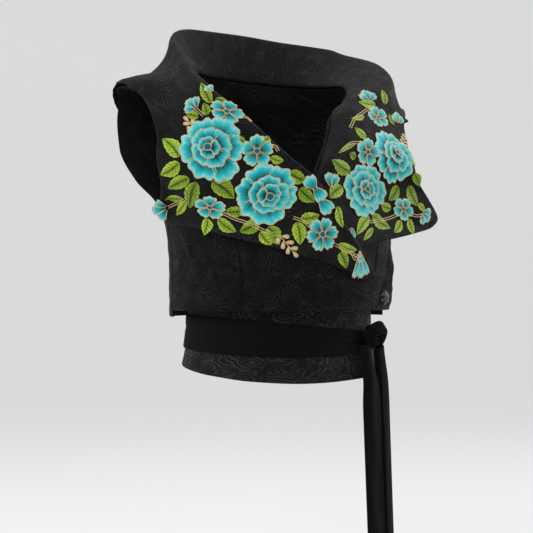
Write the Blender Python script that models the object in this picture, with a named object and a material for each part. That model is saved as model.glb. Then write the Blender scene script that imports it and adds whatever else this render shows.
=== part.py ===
"""Embroidered wrap waistcoat with its wide belt and tied sash, as worn, with nobody in it.

The wearer faces -Y, with the wearer's right at -X. Sizes are in millimetres until a mesh is made.
A place on the body is a turn in degrees round it, from 0 at the centre front, 90 at the wearer's
right, 180 at the centre back to 270 at the left, and a height above the shoulder's neck point.
"""
import math
from collections import namedtuple

import bpy
from mathutils import Vector
from mathutils.bvhtree import BVHTree

MM = 0.001

WALL = 1.8
COLLAR_WALL = 2.4
GAP = 0.3
APPLIQUE_GAP = 0.55
APPLIQUE_WALL = 1.1
COLLAR_ROOM = 1.8
SHOULDER_ROOM = 2.6

HEM = -298.0
BACK_HEM = -306.0
UNDERARM = -185.0
SHOULDER_TIP = -33.0

# The garment's outline, a row for each height. middle is how far it lies to the wearer's left.
Section = namedtuple("Section", "height half_width front back middle")
BODY = [
    Section(-330, 146, 109, 104.3, 0),
    Section(-270, 146, 116, 100, 0),
    Section(-220, 147, 124, 98, 0),
    Section(-185, 151, 126, 98, 0),
    Section(-165, 160, 124, 99, -2),
    Section(-140, 186, 119, 102, -5),
    Section(-106, 203, 110, 106, -9),
    Section(-75, 207, 94, 106, -9),
    Section(-50, 205, 76, 98, -9),
    Section(-33, 199, 62, 88, -9),
    Section(-20, 164, 50, 80, -8),
    Section(-5, 112, 32, 76, -6),
    Section(12, 58, 22, 74, -4),
]

# The armhole's two sides, as turns from the centre front of their own side
Armhole = namedtuple("Armhole", "height front back")
ARMHOLE = [
    Armhole(-185, 90, 90),
    Armhole(-180, 79, 99),
    Armhole(-168, 69, 107),
    Armhole(-140, 56, 112),
    Armhole(-110, 50, 113.5),
    Armhole(-80, 49, 115),
    Armhole(-56, 52, 114.5),
    Armhole(-40, 64, 110),
    Armhole(-33, 87, 94),
]

# Where the fronts end at the neck and the overlap: right_turn for the right front, left_turn for the left
Opening = namedtuple("Opening", "height right_turn left_turn")
OPENING = [
    Opening(-298, -38.8, 372),
    Opening(-275, -38.8, 371.5),
    Opening(-266, -38.0, 371),
    Opening(-255, -33.0, 371),
    Opening(-221, -21.4, 370),
    Opening(-191, -12.2, 368),
    Opening(-160, -5.5, 364),
    Opening(-136, -0.8, 357.5),
    Opening(-108, 8.1, 352),
    Opening(-78, 16, 347),
    Opening(-51, 23.9, 343),
    Opening(-21, 39.8, 327),
    Opening(-8, 60, 303),
    Opening(2, 85, 275),
]

# The princess seam, as a turn from the centre front of its own side, up to the armhole
Seam = namedtuple("Seam", "height turn")
PRINCESS = [
    Seam(-330, 36.3),
    Seam(-240, 38.3),
    Seam(-193, 41.9),
    Seam(-150, 48.5),
    Seam(-118, 50.6),
]
PRINCESS_TOP = -122.0

# The worn garment leans: its shoulders lie to the wearer's right and the right one is higher
SHOULDER_SHIFT = -10.0
SHOULDER_TILT = -0.08
LEAN_FROM = -260.0
LEAN_OVER = 200.0

# The right front rides over the left one with its lapel
OVERLAP_RISE = 7.0
OVERLAP_FROM = 32.0
OVERLAP_OVER = 22.0

# The rounded corner of the right front's hem
CORNER_FROM = -29.5
CORNER_OVER = 9.5
CORNER_RADIUS = 13.0
CORNER_FADE = 45.0

# Drag folds of the left front, from the button up to the armhole
Fold = namedtuple("Fold", "low_turn low_height high_turn high_height depth width")
DRAG_FOLDS = [
    Fold(308, -292, 286, -214, 4.5, 5.0),
    Fold(311, -284, 298, -206, 4.0, 5.0),
    Fold(304, -300, 277, -246, 3.5, 5.5),
]

# The collar, a row for each section from the tip of the right lapel round the neck to the left lapel.
# seam is its place on the body, crest the top of the roll, edge the free edge, and steep says how
# straight down the fall drops before it flares out.
Cut = namedtuple("Cut", "seam_turn seam_height crest edge steep")
COLLAR = [
    Cut(-32.0, -254, (84, -114, -256), (78, -113, -263), 0.0),
    Cut(-21.4, -221, (58, -129, -221), (13, -133, -239), 0.0),
    Cut(-12.2, -191, (34, -137, -191), (-40, -131, -224), 0.0),
    Cut(-0.7, -136, (3, -134, -136), (-108, -97, -206), 0.0),
    Cut(8.1, -108, (-31, -129, -108), (-134, -69, -198), 0.0),
    Cut(13.0, -90, (-50, -123, -91), (-160, -28, -188), 0.0),
    Cut(16.0, -78, (-63, -117, -78), (-172, -22, -180), 0.1),
    Cut(20.0, -64, (-78, -109, -64), (-174, -42, -162), 0.1),
    Cut(23.9, -51, (-91, -100, -51), (-176, -52, -144), 0.2),
    Cut(39.8, -21, (-120, -73, -21), (-182, -63, -93), 0.3),
    Cut(60.0, -8, (-130, -48, -6), (-188, -45, -54), 0.5),
    Cut(85.0, 2, (-132, -22, 12), (-197, -31, -39), 0.8),
    Cut(105.0, 2, (-131, 18, 38), (-203, 4, -34), 1.0),
    Cut(130.0, 2, (-114, 56, 59), (-183, 52, -60), 1.0),
    Cut(155.0, 2, (-76, 85, 69), (-125, 91, -95), 1.0),
    Cut(180.0, 2, (-14, 98, 71), (-10, 110, -105), 1.0),
    Cut(205.0, 2, (44, 95, 68), (92, 100, -103), 1.0),
    Cut(228.0, 2, (94, 82, 65), (148, 80, -92), 1.0),
    Cut(246.0, 2, (143, 64, 59), (178, 58, -68), 1.0),
    Cut(262.0, 2, (166, 32, 49), (186, 24, -42), 1.0),
    Cut(277.0, 1, (169, 4, 35), (180, -6, -33), 0.9),
    Cut(290.0, -2, (161, -20, 21), (175, -28, -32), 0.8),
    Cut(302.0, -6, (139, -46, 5), (168, -42, -38), 0.6),
    Cut(314.0, -11, (113, -60, -7), (163, -52, -50), 0.4),
    Cut(326.0, -19, (90, -66, -16), (160, -66, -66), 0.2),
    Cut(341.6, -40, (69, -90, -40), (155, -85, -88), 0.1),
    Cut(345.6, -66, (56, -105, -66), (156, -98, -112), 0.1),
    Cut(350.0, -93, (39, -117, -93), (180, -78, -142), 0.0),
    Cut(353.1, -114, (26, -122, -114), (196, -72, -172), 0.0),
    Cut(357.5, -137, (10, -122, -137), (186, -74, -186), 0.0),
    Cut(361.0, -150, (-1, -124.8, -150), (148, -88, -198), 0.0),
    Cut(363.5, -162, (-8, -127, -162), (86, -110, -211), 0.0),
    Cut(366.0, -176, (-14, -128.6, -176), (33, -124, -221), 0.0),
]
ROLL = 13.0
LEFT_LAPEL = 20

# The dress button, turned from its profile
Ring = namedtuple("Ring", "radius rise")
BUTTON_TURN = -46.6
BUTTON_HEIGHT = -282.0
BUTTON_NOD = 0.35
BUTTON_SIDES = 20
BUTTON_PROFILE = [
    Ring(0.0, 0.0),
    Ring(2.4, 0.0),
    Ring(2.4, 2.6),
    Ring(9.0, 3.0),
    Ring(11.0, 4.0),
    Ring(11.0, 5.2),
    Ring(9.6, 5.8),
    Ring(8.6, 5.2),
    Ring(6.0, 6.8),
    Ring(3.0, 7.8),
    Ring(0.0, 8.2),
]

# The wide belt, a row for each height, and its lower edge and the sash's edges by turn
BELT_TOP = -289.0
BELT_WALL = 2.2
Waist = namedtuple("Waist", "height half_width front back")
BELT = [
    Waist(-400, 136, 106, 100),
    Waist(-370, 129, 102, 99.6),
    Waist(-345, 123.5, 98.5, 99.4),
    Waist(-315, 120, 95.5, 99.2),
    Waist(-289, 119.5, 95, 98.4),
]
BeltEdge = namedtuple("BeltEdge", "turn bottom")
BELT_EDGE = [
    BeltEdge(-180, -374),
    BeltEdge(-90, -378),
    BeltEdge(-40, -384),
    BeltEdge(5, -389),
    BeltEdge(34, -386),
    BeltEdge(58, -380),
    BeltEdge(110, -369),
    BeltEdge(180, -374),
]
SashEdge = namedtuple("SashEdge", "turn top bottom")
SASH = [
    SashEdge(-180, -320, -356),
    SashEdge(-135, -322, -356),
    SashEdge(-75, -323, -352),
    SashEdge(-47, -325, -347),
    SashEdge(-38, -323, -350),
    SashEdge(-11, -319, -355),
    SashEdge(9, -315, -356),
    SashEdge(42, -308, -353),
    SashEdge(110, -304, -346),
    SashEdge(145, -312, -352),
    SashEdge(180, -320, -356),
]
SASH_WALL = 2.0
SASH_ROOM = 0.8
CREASE_DEPTH = 2.2
CREASE_REACH = 26.0
BELT_STEPS = 60
BELT_LEVELS = 4
SASH_LEVELS = 5

KNOT_TURN = -46.0
KNOT_HEIGHT = -332.0
KNOT_WIDTH = 34.0
KNOT_TALL = 32.0
KNOT_DEPTH = 19.0
KNOT_FOLD = 0.1
KNOT_ROOM = 1.4
KNOT_CORNER = 0.8
KNOT_RINGS = 6
KNOT_SIDES = 18

Tail = namedtuple("Tail", "out aside facing_x facing_y width length flare drift folds fold")
TAILS = {
    "sash_tail_front": Tail(4.5, -18.0, 0.9, 0.43, 35.0, 300.0, 7.0, 11.0, 1.0, 1.6),
    "sash_tail_back": Tail(11.0, 12.0, 0.75, 0.66, 24.0, 288.0, 4.0, 11.0, 0.7, 1.4),
}
TAIL_WALL = 2.4
FLARE_OVER = 6.0
TAIL_LEVELS = 16
TAIL_STEPS = 6

# The appliques on the collar's fall. x and z say where the middle of each shows to someone who stands
# at VIEWPOINT, in millimetres across and up from the neck point. facing turns it clockwise, and
# flat is its height as a share of its width.
VIEWPOINT = Vector((-1065.0, -2590.0, -242.0))
VIEW_TURN = math.radians(22.0)
Motif = namedtuple("Motif", "name x z radius facing petals flat rise")
MOTIFS = [
    Motif("rose_1", -88, -89, 37.5, 20, 8, 1.0, 2.4),
    Motif("rose_2", -18, -147, 38.0, -25, 8, 0.9, 2.4),
    Motif("rose_3", 151, -99, 33.5, -30, 8, 1.0, 2.4),
    Motif("rose_4", 112, -145, 31.5, 25, 8, 0.95, 2.4),
    Motif("flower_1", -69, -40, 20.0, 22, 5, 0.56, 0.9),
    Motif("flower_2", -30, -92, 18.0, 0, 5, 1.0, 0.9),
    Motif("flower_3", -91, -165, 18.5, 8, 5, 0.68, 0.9),
    Motif("flower_4", 55, -200, 18.5, 20, 6, 1.0, 0.9),
    Motif("flower_5", 127, -48, 17.0, -10, 5, 0.8, 0.9),
    Motif("flower_6", 113, -93, 13.5, 12, 5, 1.0, 0.9),
    Motif("flower_7", 160, -167, 15.0, 30, 5, 0.8, 0.9),
    Motif("bud_1", -116, -31, 9.5, -55, 3, 0.8, 0.6),
    Motif("bud_2", -155, -168, 9.5, -100, 3, 0.9, 0.6),
    Motif("bud_3", 112, -239, 13.5, 78, 3, 0.72, 0.6),
    Motif("bud_4", 116, -18, 9.0, -8, 3, 0.75, 0.6),
    Motif("bud_5", 156, -48, 7.5, 8, 3, 0.85, 0.6),
    Motif("bud_6", 192, -177, 8.5, 128, 3, 0.9, 0.6),
]
NOTCH = 0.13

# The larger leaves, from base to tip, as they show from the same place
Leaf = namedtuple("Leaf", "name x z tip_x tip_z width")
LEAVES = [
    Leaf("leaf_near_1", -90, -25, -101, -5, 9.5),
    Leaf("leaf_near_2", -132, -99, -151, -79, 14.0),
    Leaf("leaf_near_3", -133, -108, -153, -121, 12.5),
    Leaf("leaf_near_4", -121, -129, -143, -139, 11.0),
    Leaf("leaf_near_5", -111, -136, -117, -162, 13.0),
    Leaf("leaf_near_6", -86, -134, -62, -151, 16.0),
    Leaf("leaf_near_7", -96, -183, -98, -199, 11.0),
    Leaf("leaf_near_8", -80, -183, -59, -195, 10.5),
    Leaf("leaf_near_9", -68, -171, -46, -169, 9.0),
    Leaf("leaf_near_10", -29, -188, -50, -196, 11.0),
    Leaf("leaf_near_11", -14, -192, -3, -211, 12.0),
    Leaf("leaf_near_12", 22, -187, 26, -211, 12.5),
    Leaf("leaf_near_13", 28, -179, 49, -175, 10.0),
    Leaf("leaf_near_14", 14, -121, 32, -129, 12.0),
    Leaf("leaf_near_15", 27, -142, 43, -156, 12.0),
    Leaf("leaf_near_16", 78, -213, 98, -219, 8.5),
    Leaf("leaf_near_17", 79, -226, 86, -242, 10.0),
    Leaf("leaf_far_1", 137, -30, 133, -14, 9.0),
    Leaf("leaf_far_2", 111, -73, 99, -63, 8.5),
    Leaf("leaf_far_3", 89, -120, 70, -105, 13.0),
    Leaf("leaf_far_4", 79, -139, 67, -151, 12.0),
    Leaf("leaf_far_5", 108, -188, 103, -201, 9.0),
    Leaf("leaf_far_6", 124, -185, 145, -194, 10.5),
    Leaf("leaf_far_7", 151, -139, 143, -154, 10.5),
    Leaf("leaf_far_8", 168, -139, 178, -161, 10.5),
    Leaf("leaf_far_9", 158, -183, 150, -196, 8.0),
]
LEAF_RISE = 0.5
LEAF_OUTLINE = [
    (0.0, 0.06),
    (0.22, 0.8),
    (0.5, 1.0),
    (0.78, 0.6),
    (1.0, 0.0),
    (0.78, -0.6),
    (0.5, -1.0),
    (0.22, -0.8),
]

STAND_STEPS = 2
ROLL_STEPS = 3
FALL_STEPS = 9
CUT_SPACING = 21.0


def ease(x):
    """Smooth step from 0 to 1."""
    x = min(1.0, max(0.0, x))
    return x * x * (3.0 - 2.0 * x)


def mix(a, b, share):
    return a + (b - a) * share


def slopes(xs, ys):
    """Slopes of the smooth curve through the points that never overshoots them."""
    steps = [(ys[i + 1] - ys[i]) / (xs[i + 1] - xs[i]) for i in range(len(xs) - 1)]
    result = [steps[0]]
    for i in range(1, len(steps)):
        before, after = steps[i - 1], steps[i]
        if before * after <= 0.0:
            result.append(0.0)
        else:
            wide = xs[i + 1] - xs[i]
            narrow = xs[i] - xs[i - 1]
            near = 2.0 * wide + narrow
            far = wide + 2.0 * narrow
            result.append((near + far) / (near / before + far / after))
    result.append(steps[-1])
    return result


class Curve:
    """A column of a table as a smooth function of another column."""

    def __init__(self, xs, ys):
        self.xs = list(xs)
        self.ys = list(ys)
        self.slopes = slopes(self.xs, self.ys)

    def __call__(self, x):
        xs = self.xs
        if x <= xs[0]:
            return self.ys[0]
        if x >= xs[-1]:
            return self.ys[-1]
        i = max(k for k in range(len(xs) - 1) if xs[k] <= x)
        width = xs[i + 1] - xs[i]
        s = (x - xs[i]) / width
        return (
            self.ys[i] * (2 * s**3 - 3 * s**2 + 1)
            + width * self.slopes[i] * (s**3 - 2 * s**2 + s)
            + self.ys[i + 1] * (3 * s**2 - 2 * s**3)
            + width * self.slopes[i + 1] * (s**3 - s**2)
        )


def column(rows, key):
    """One column of a table read against its heights."""
    return Curve([row.height for row in rows], [getattr(row, key) for row in rows])


half_width = column(BODY, "half_width")
front_depth = column(BODY, "front")
back_depth = column(BODY, "back")
middle = column(BODY, "middle")
arm_front = column(ARMHOLE, "front")
arm_back = column(ARMHOLE, "back")
right_opening = column(OPENING, "right_turn")
left_opening = column(OPENING, "left_turn")
princess = column(PRINCESS, "turn")


def on_body(turn, height, out=0.0):
    """The point out millimetres outside the garment's inner face, before it leans."""
    angle = math.radians(turn)
    wide = half_width(height)
    deep = front_depth(height) if math.cos(angle) > 0.0 else back_depth(height)
    across = -math.sin(angle)
    along = -math.cos(angle)
    normal = Vector((across / wide, along / deep, 0.0)).normalized()
    return Vector((middle(height) + wide * across, deep * along, height)) + normal * out


def lean(point):
    """Move a point of the straight garment to where the worn one has it."""
    share = ease((point.z - LEAN_FROM) / LEAN_OVER)
    return Vector((point.x + SHOULDER_SHIFT * share, point.y, point.z + SHOULDER_TILT * share * point.x))


def overlap(turn):
    """How far the right front lies outside the body, over the left front and its lapel."""
    return OVERLAP_RISE * ease((OVERLAP_FROM - turn) / OVERLAP_OVER)


def drag(turn, height):
    """Height of the left front's drag folds at a place."""
    total = 0.0
    for fold in DRAG_FOLDS:
        share = (height - fold.low_height) / (fold.high_height - fold.low_height)
        ridge = mix(fold.low_turn, fold.high_turn, share)
        away = (turn - ridge) * 2.2 / fold.width
        fade = ease(4.0 * share) * ease(2.5 * (1.0 - share))
        total += fold.depth * fade * math.exp(-away * away)
    return total


def turn_of(point):
    """The turn of a point, measured as on_body measures it."""
    deep = front_depth(point.z) if point.y < 0.0 else back_depth(point.z)
    across = (middle(point.z) - point.x) / half_width(point.z)
    return math.degrees(math.atan2(across, -point.y / deep))


PROFILE = [(z, half_width(z), front_depth(z), back_depth(z)) for z in range(-330, 13, 6)]


def rest_on_body(point, clear):
    """Push a point of the collar out until it lies clear of the body in its own upright plane."""
    centre = middle(point.z)
    aside = point.x - centre
    radius = math.hypot(aside, point.y)
    across = abs(aside) / radius
    along = point.y / radius
    rim = []
    for z, wide, front, back in PROFILE:
        deep = back if along > 0.0 else front
        rim.append((1.0 / math.hypot(across / wide, along / deep), z))
    best = None
    for (r0, z0), (r1, z1) in zip(rim, rim[1:]):
        dr, dz = r1 - r0, z1 - z0
        share = min(1.0, max(0.0, ((radius - r0) * dr + (point.z - z0) * dz) / (dr * dr + dz * dz)))
        near_r, near_z = r0 + share * dr, z0 + share * dz
        away = math.hypot(radius - near_r, point.z - near_z)
        if best is None or away < best[0]:
            length = math.hypot(dr, dz)
            best = (away, near_r, near_z, dz / length, -dr / length)
    away, near_r, near_z, normal_r, normal_z = best
    side = (radius - near_r) * normal_r + (point.z - near_z) * normal_z
    height = away if side >= 0.0 else -away
    if height >= clear:
        return point
    new_radius = near_r + normal_r * clear
    new_z = near_z + normal_z * clear
    return Vector((centre + aside * new_radius / radius, point.y * new_radius / radius, new_z))


CUT_NUMBERS = list(range(len(COLLAR)))


def cut_curves():
    """The collar's table as smooth functions of the section's number."""
    found = {
        "seam_turn": Curve(CUT_NUMBERS, [cut.seam_turn for cut in COLLAR]),
        "seam_height": Curve(CUT_NUMBERS, [cut.seam_height for cut in COLLAR]),
        "steep": Curve(CUT_NUMBERS, [cut.steep for cut in COLLAR]),
    }
    for part in ("crest", "edge"):
        for axis in range(3):
            found[part, axis] = Curve(CUT_NUMBERS, [getattr(cut, part)[axis] for cut in COLLAR])
    return found


CUTS = cut_curves()


def collar_clear(at, turn):
    """Room that the collar leaves for the panels under it at a section."""
    under = overlap(turn) if at < LEFT_LAPEL else 0.0
    return under + WALL + COLLAR_ROOM + SHOULDER_ROOM * CUTS["steep"](at)


def collar_under(at, along):
    """The collar's hidden side: along is -1 at the seam, 0 at the roll and 1 at the free edge."""
    seam_turn = CUTS["seam_turn"](at)
    clear = collar_clear(at, seam_turn)
    seam = on_body(seam_turn, CUTS["seam_height"](at), clear)
    crest = Vector([CUTS["crest", axis](at) for axis in range(3)])
    edge = Vector([CUTS["edge", axis](at) for axis in range(3)])
    roll = min(ROLL, 0.45 * (crest - seam).length, 0.45 * (edge - crest).length)
    inner = crest + (seam - crest).normalized() * roll
    steep = CUTS["steep"](at)
    hang = Vector((
        mix(crest.x, edge.x, 0.5 - 0.38 * steep),
        mix(crest.y, edge.y, 0.5 - 0.38 * steep),
        mix(crest.z, edge.z, 0.5 + 0.1 * steep),
    ))
    outer = crest + (hang - crest).normalized() * roll
    roll_share = 0.12
    if along < -roll_share:
        return mix(seam, inner, (along + 1.0) / (1.0 - roll_share))
    if along < roll_share:
        s = (along + roll_share) / (2.0 * roll_share)
        return inner * (1 - s) ** 2 + crest * 2 * s * (1 - s) + outer * s * s
    s = (along - roll_share) / (1.0 - roll_share)
    point = outer * (1 - s) ** 2 + hang * 2 * s * (1 - s) + edge * s * s
    return rest_on_body(point, collar_clear(at, turn_of(point)))


def collar_point(at, along, out=0.0):
    """A point out millimetres from the collar's hidden side, towards the side that shows."""
    step_at = 0.04
    step_along = 0.01
    low, high = max(0.0, at - step_at), min(CUT_NUMBERS[-1], at + step_at)
    across = collar_under(high, along) - collar_under(low, along)
    down = collar_under(at, along + step_along) - collar_under(at, along - step_along)
    normal = across.cross(down).normalized()
    return collar_under(at, along) + normal * out


def material(name, colour, roughness, metallic=0.0):
    """A plain surface in the colour of a piece."""
    made = bpy.data.materials.new(name)
    made.use_nodes = True
    shader = made.node_tree.nodes["Principled BSDF"]
    shader.inputs["Base Color"].default_value = (*colour, 1.0)
    shader.inputs["Roughness"].default_value = roughness
    shader.inputs["Metallic"].default_value = metallic
    return made


def jacquard(name):
    return material(name, (0.012, 0.012, 0.013), 0.55)


def crepe(name):
    return material(name, (0.01, 0.01, 0.011), 0.8)


def add_object(name, points, faces, surface):
    """Make one closed object, with its faces turned outwards."""
    volume = 0.0
    for face in faces:
        a = points[face[0]]
        for second, third in zip(face[1:], face[2:]):
            volume += a.dot(points[second].cross(points[third]))
    if volume < 0.0:
        faces = [tuple(reversed(face)) for face in faces]
    mesh = bpy.data.meshes.new(name)
    mesh.from_pydata([point * MM for point in points], [], faces)
    mesh.validate()
    mesh.shade_smooth()
    mesh.set_sharp_from_angle(angle=math.radians(50))
    mesh.materials.append(surface)
    made = bpy.data.objects.new(name, mesh)
    bpy.context.scene.collection.objects.link(made)
    return made


def wall(name, inside, outside, surface, ring=False):
    """A closed wall between two grids of points. A ring joins its last row to its first."""
    rows, columns = len(inside), len(inside[0])
    points = [point for row in inside for point in row] + [point for row in outside for point in row]
    shift = rows * columns
    faces = []

    def at(i, j, side):
        return (i % rows) * columns + j + side * shift

    for i in range(rows if ring else rows - 1):
        for j in range(columns - 1):
            corners = [(i, j), (i + 1, j), (i + 1, j + 1), (i, j + 1)]
            places = [inside[row % rows][place] for row, place in corners]
            if (places[0] - places[2]).length > (places[1] - places[3]).length:
                corners = corners[1:] + corners[:1]
            for half in (corners[:3], corners[2:] + corners[:1]):
                faces.append(tuple(at(row, place, 0) for row, place in half))
                faces.append(tuple(at(row, place, 1) for row, place in reversed(half)))
        faces.append((at(i, 0, 0), at(i, 0, 1), at(i + 1, 0, 1), at(i + 1, 0, 0)))
        last = columns - 1
        faces.append((at(i, last, 0), at(i + 1, last, 0), at(i + 1, last, 1), at(i, last, 1)))
    if not ring:
        for j in range(columns - 1):
            faces.append((at(0, j, 0), at(0, j + 1, 0), at(0, j + 1, 1), at(0, j, 1)))
            end = rows - 1
            faces.append((at(end, j, 0), at(end, j, 1), at(end, j + 1, 1), at(end, j + 1, 0)))
    return add_object(name, points, faces, surface)


def corner_lift(turn, height):
    """How far the right front's hem rises at its rounded corner, less and less further up."""
    share = min(1.0, max(0.0, (CORNER_FROM - turn) / CORNER_OVER))
    rise = CORNER_RADIUS * (1.0 - math.sqrt(1.0 - 0.98 * share * share))
    return rise * max(0.0, 1.0 - (height - HEM) / CORNER_FADE)


def panel(name, heights, start, end, steps, out=None, lift=None):
    """A cut piece between two edges that are turns at each height."""
    inside, outside = [], []
    for level in heights:
        inner_row, outer_row = [], []
        for step in range(steps + 1):
            turn = mix(start(level), end(level), step / steps)
            height = level + lift(turn, level) if lift else level
            rise = out(turn, height) if out else 0.0
            inner_row.append(lean(on_body(turn, height, rise)))
            outer_row.append(lean(on_body(turn, height, rise + WALL)))
        inside.append(inner_row)
        outside.append(outer_row)
    return wall(name, inside, outside, jacquard(name))


def seam_gap(height):
    """Half of the gap at a seam, as a turn."""
    return math.degrees(0.5 * GAP / half_width(height)) * 1.6


LOW_HEIGHTS = [-286, -270, -245, -220, -200]
ARM_HEIGHTS = [-185, -180, -172, -158, -140, -122]
TOP_HEIGHTS = [-100, -80, -62, -48, -40, -33]
SHOULDER_HEIGHTS = [-30, -24, -16, -8, 0]


def back_side(height):
    """Turn of the back's edge from the centre front: side seam, armhole and shoulder seam."""
    if UNDERARM < height < SHOULDER_TIP:
        return arm_back(height)
    return 90.0 + seam_gap(height)


def front_side(height):
    """Turn of a front's outer edge from the centre front."""
    if UNDERARM < height < SHOULDER_TIP:
        return arm_front(height)
    return 90.0 - seam_gap(height)


def make_back():
    heights = [BACK_HEM] + LOW_HEIGHTS + ARM_HEIGHTS + TOP_HEIGHTS + SHOULDER_HEIGHTS
    panel("back", heights, back_side, lambda height: 360.0 - back_side(height), 22)


def make_right_front():
    side_heights = [HEM] + LOW_HEIGHTS + ARM_HEIGHTS
    panel(
        "right_side_front",
        side_heights,
        front_side,
        lambda height: min(princess(height) + seam_gap(height), front_side(height) - 1.0),
        6,
        lambda turn, height: overlap(turn),
    )

    def outer(height):
        return princess(height) - seam_gap(height) if height <= PRINCESS_TOP else front_side(height)

    panel(
        "right_centre_front",
        [HEM] + LOW_HEIGHTS + ARM_HEIGHTS + TOP_HEIGHTS + SHOULDER_HEIGHTS,
        outer,
        lambda height: min(right_opening(height) - 1.5, outer(height) - 1.0),
        15,
        lambda turn, height: overlap(turn),
        corner_lift,
    )


def make_left_front():
    side_heights = [HEM] + LOW_HEIGHTS + ARM_HEIGHTS
    panel(
        "left_side_front",
        side_heights,
        lambda height: 360.0 - front_side(height),
        lambda height: 360.0 - min(princess(height) + seam_gap(height), front_side(height) - 1.0),
        10,
        drag,
    )

    def outer(height):
        inward = princess(height) - seam_gap(height) if height <= PRINCESS_TOP else front_side(height)
        return 360.0 - inward

    panel(
        "left_centre_front",
        [HEM] + LOW_HEIGHTS + ARM_HEIGHTS + TOP_HEIGHTS + SHOULDER_HEIGHTS,
        outer,
        lambda height: max(left_opening(height) + 1.5, outer(height) + 1.0),
        12,
        drag,
    )


def collar_steps():
    """Places along a section of the collar, closer at the roll."""
    roll_share = 0.12
    stand = [mix(-1.0, -roll_share, i / STAND_STEPS) for i in range(STAND_STEPS)]
    roll = [mix(-roll_share, roll_share, i / ROLL_STEPS) for i in range(ROLL_STEPS)]
    fall = [mix(roll_share, 1.0, i / FALL_STEPS) for i in range(FALL_STEPS + 1)]
    return stand + roll + fall


def collar_stations():
    """Places of the collar's sections, about one spacing apart along its free edge."""
    found = []
    for number, (cut, after) in enumerate(zip(COLLAR, COLLAR[1:])):
        apart = max(math.dist(cut.edge, after.edge), math.dist(cut.crest, after.crest))
        steps = max(1, round(apart / CUT_SPACING))
        found += [number + step / steps for step in range(steps)]
    return found + [len(COLLAR) - 1]


def make_collar():
    inside, outside = [], []
    for at in collar_stations():
        inside.append([lean(collar_point(at, along)) for along in collar_steps()])
        outside.append([lean(collar_point(at, along, COLLAR_WALL)) for along in collar_steps()])
    wall("collar", inside, outside, jacquard("collar"))


def make_button():
    """A domed dress button on its shank, turned from its profile."""
    base = on_body(BUTTON_TURN, BUTTON_HEIGHT, WALL + GAP + drag(360.0 + BUTTON_TURN, BUTTON_HEIGHT))
    root = on_body(BUTTON_TURN, BUTTON_HEIGHT)
    facing = (base - root).normalized()
    facing = (facing + Vector((0.0, -BUTTON_NOD, 0.0))).normalized()
    side = facing.cross(Vector((0.0, 0.0, 1.0))).normalized()
    up = side.cross(facing)
    start = lean(base) + facing * 0.8
    points = [start + facing * BUTTON_PROFILE[0].rise]
    for ring in BUTTON_PROFILE[1:-1]:
        for step in range(BUTTON_SIDES):
            angle = math.tau * step / BUTTON_SIDES
            spoke = side * math.cos(angle) + up * math.sin(angle)
            points.append(start + facing * ring.rise + spoke * ring.radius)
    points.append(start + facing * BUTTON_PROFILE[-1].rise)
    rings = len(BUTTON_PROFILE) - 2
    faces = turned_faces(rings, BUTTON_SIDES)
    steel = material("button", (0.16, 0.15, 0.15), 0.3, 0.9)
    add_object("button", points, faces, steel)


def turned_faces(rings, sides):
    """Faces of a closed form from its first point, through rings of points, to its last point."""
    last = rings * sides + 1
    faces = []
    for step in range(sides):
        after = (step + 1) % sides
        faces.append((0, 1 + after, 1 + step))
        for ring in range(rings - 1):
            low = 1 + ring * sides
            faces.append((low + step, low + after, low + sides + after, low + sides + step))
        top = 1 + (rings - 1) * sides
        faces.append((top + step, top + after, last))
    return faces


belt_wide = column(BELT, "half_width")
belt_front = column(BELT, "front")
belt_back = column(BELT, "back")
sash_top = Curve([edge.turn for edge in SASH], [edge.top for edge in SASH])
sash_bottom = Curve([edge.turn for edge in SASH], [edge.bottom for edge in SASH])
belt_bottom = Curve([edge.turn for edge in BELT_EDGE], [edge.bottom for edge in BELT_EDGE])


def on_belt(turn, height, out=0.0):
    """A point out millimetres outside the belt's inner face."""
    angle = math.radians(turn)
    wide = belt_wide(height)
    deep = belt_front(height) if math.cos(angle) > 0.0 else belt_back(height)
    across = -math.sin(angle)
    along = -math.cos(angle)
    normal = Vector((across / wide, along / deep, 0.0)).normalized()
    return Vector((wide * across, deep * along, height)) + normal * out


def make_belt():
    """The wide jacquard belt, its top edge tucked under the waistcoat's hem."""
    inside, outside = [], []
    for step in range(BELT_STEPS):
        turn = 180.0 - 360.0 * step / BELT_STEPS
        heights = [mix(belt_bottom(turn), BELT_TOP, level / BELT_LEVELS) for level in range(BELT_LEVELS + 1)]
        inside.append([on_belt(turn, height) for height in heights])
        outside.append([on_belt(turn, height, BELT_WALL) for height in heights])
    wall("belt_band", inside, outside, jacquard("belt_band"), ring=True)


def pinch(turn, share):
    """Height of the sash's creases, which gather at the knot."""
    away = abs(turn - KNOT_TURN)
    near = math.exp(-((away / CREASE_REACH) ** 2))
    return CREASE_DEPTH * near * (0.5 - 0.5 * math.cos(math.tau * 2.5 * share))


def make_sash():
    """The crepe sash, one flat turn round the belt."""
    inside, outside = [], []
    for step in range(BELT_STEPS):
        turn = 180.0 - 360.0 * step / BELT_STEPS
        inner_row, outer_row = [], []
        for level in range(SASH_LEVELS + 1):
            share = level / SASH_LEVELS
            height = mix(sash_bottom(turn), sash_top(turn), share)
            rise = BELT_WALL + SASH_ROOM
            inner_row.append(on_belt(turn, height, rise))
            outer_row.append(on_belt(turn, height, rise + SASH_WALL + pinch(turn, share)))
        inside.append(inner_row)
        outside.append(outer_row)
    wall("sash", inside, outside, crepe("sash"), ring=True)


def knot_frame():
    """Place of the knot's seat, its outward way and the way along the sash."""
    seat = on_belt(KNOT_TURN, KNOT_HEIGHT, BELT_WALL + SASH_ROOM + SASH_WALL + CREASE_DEPTH + KNOT_ROOM)
    outward = (seat - on_belt(KNOT_TURN, KNOT_HEIGHT)).normalized()
    along = Vector((0.0, 0.0, 1.0)).cross(outward).normalized()
    return seat, outward, along


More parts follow.
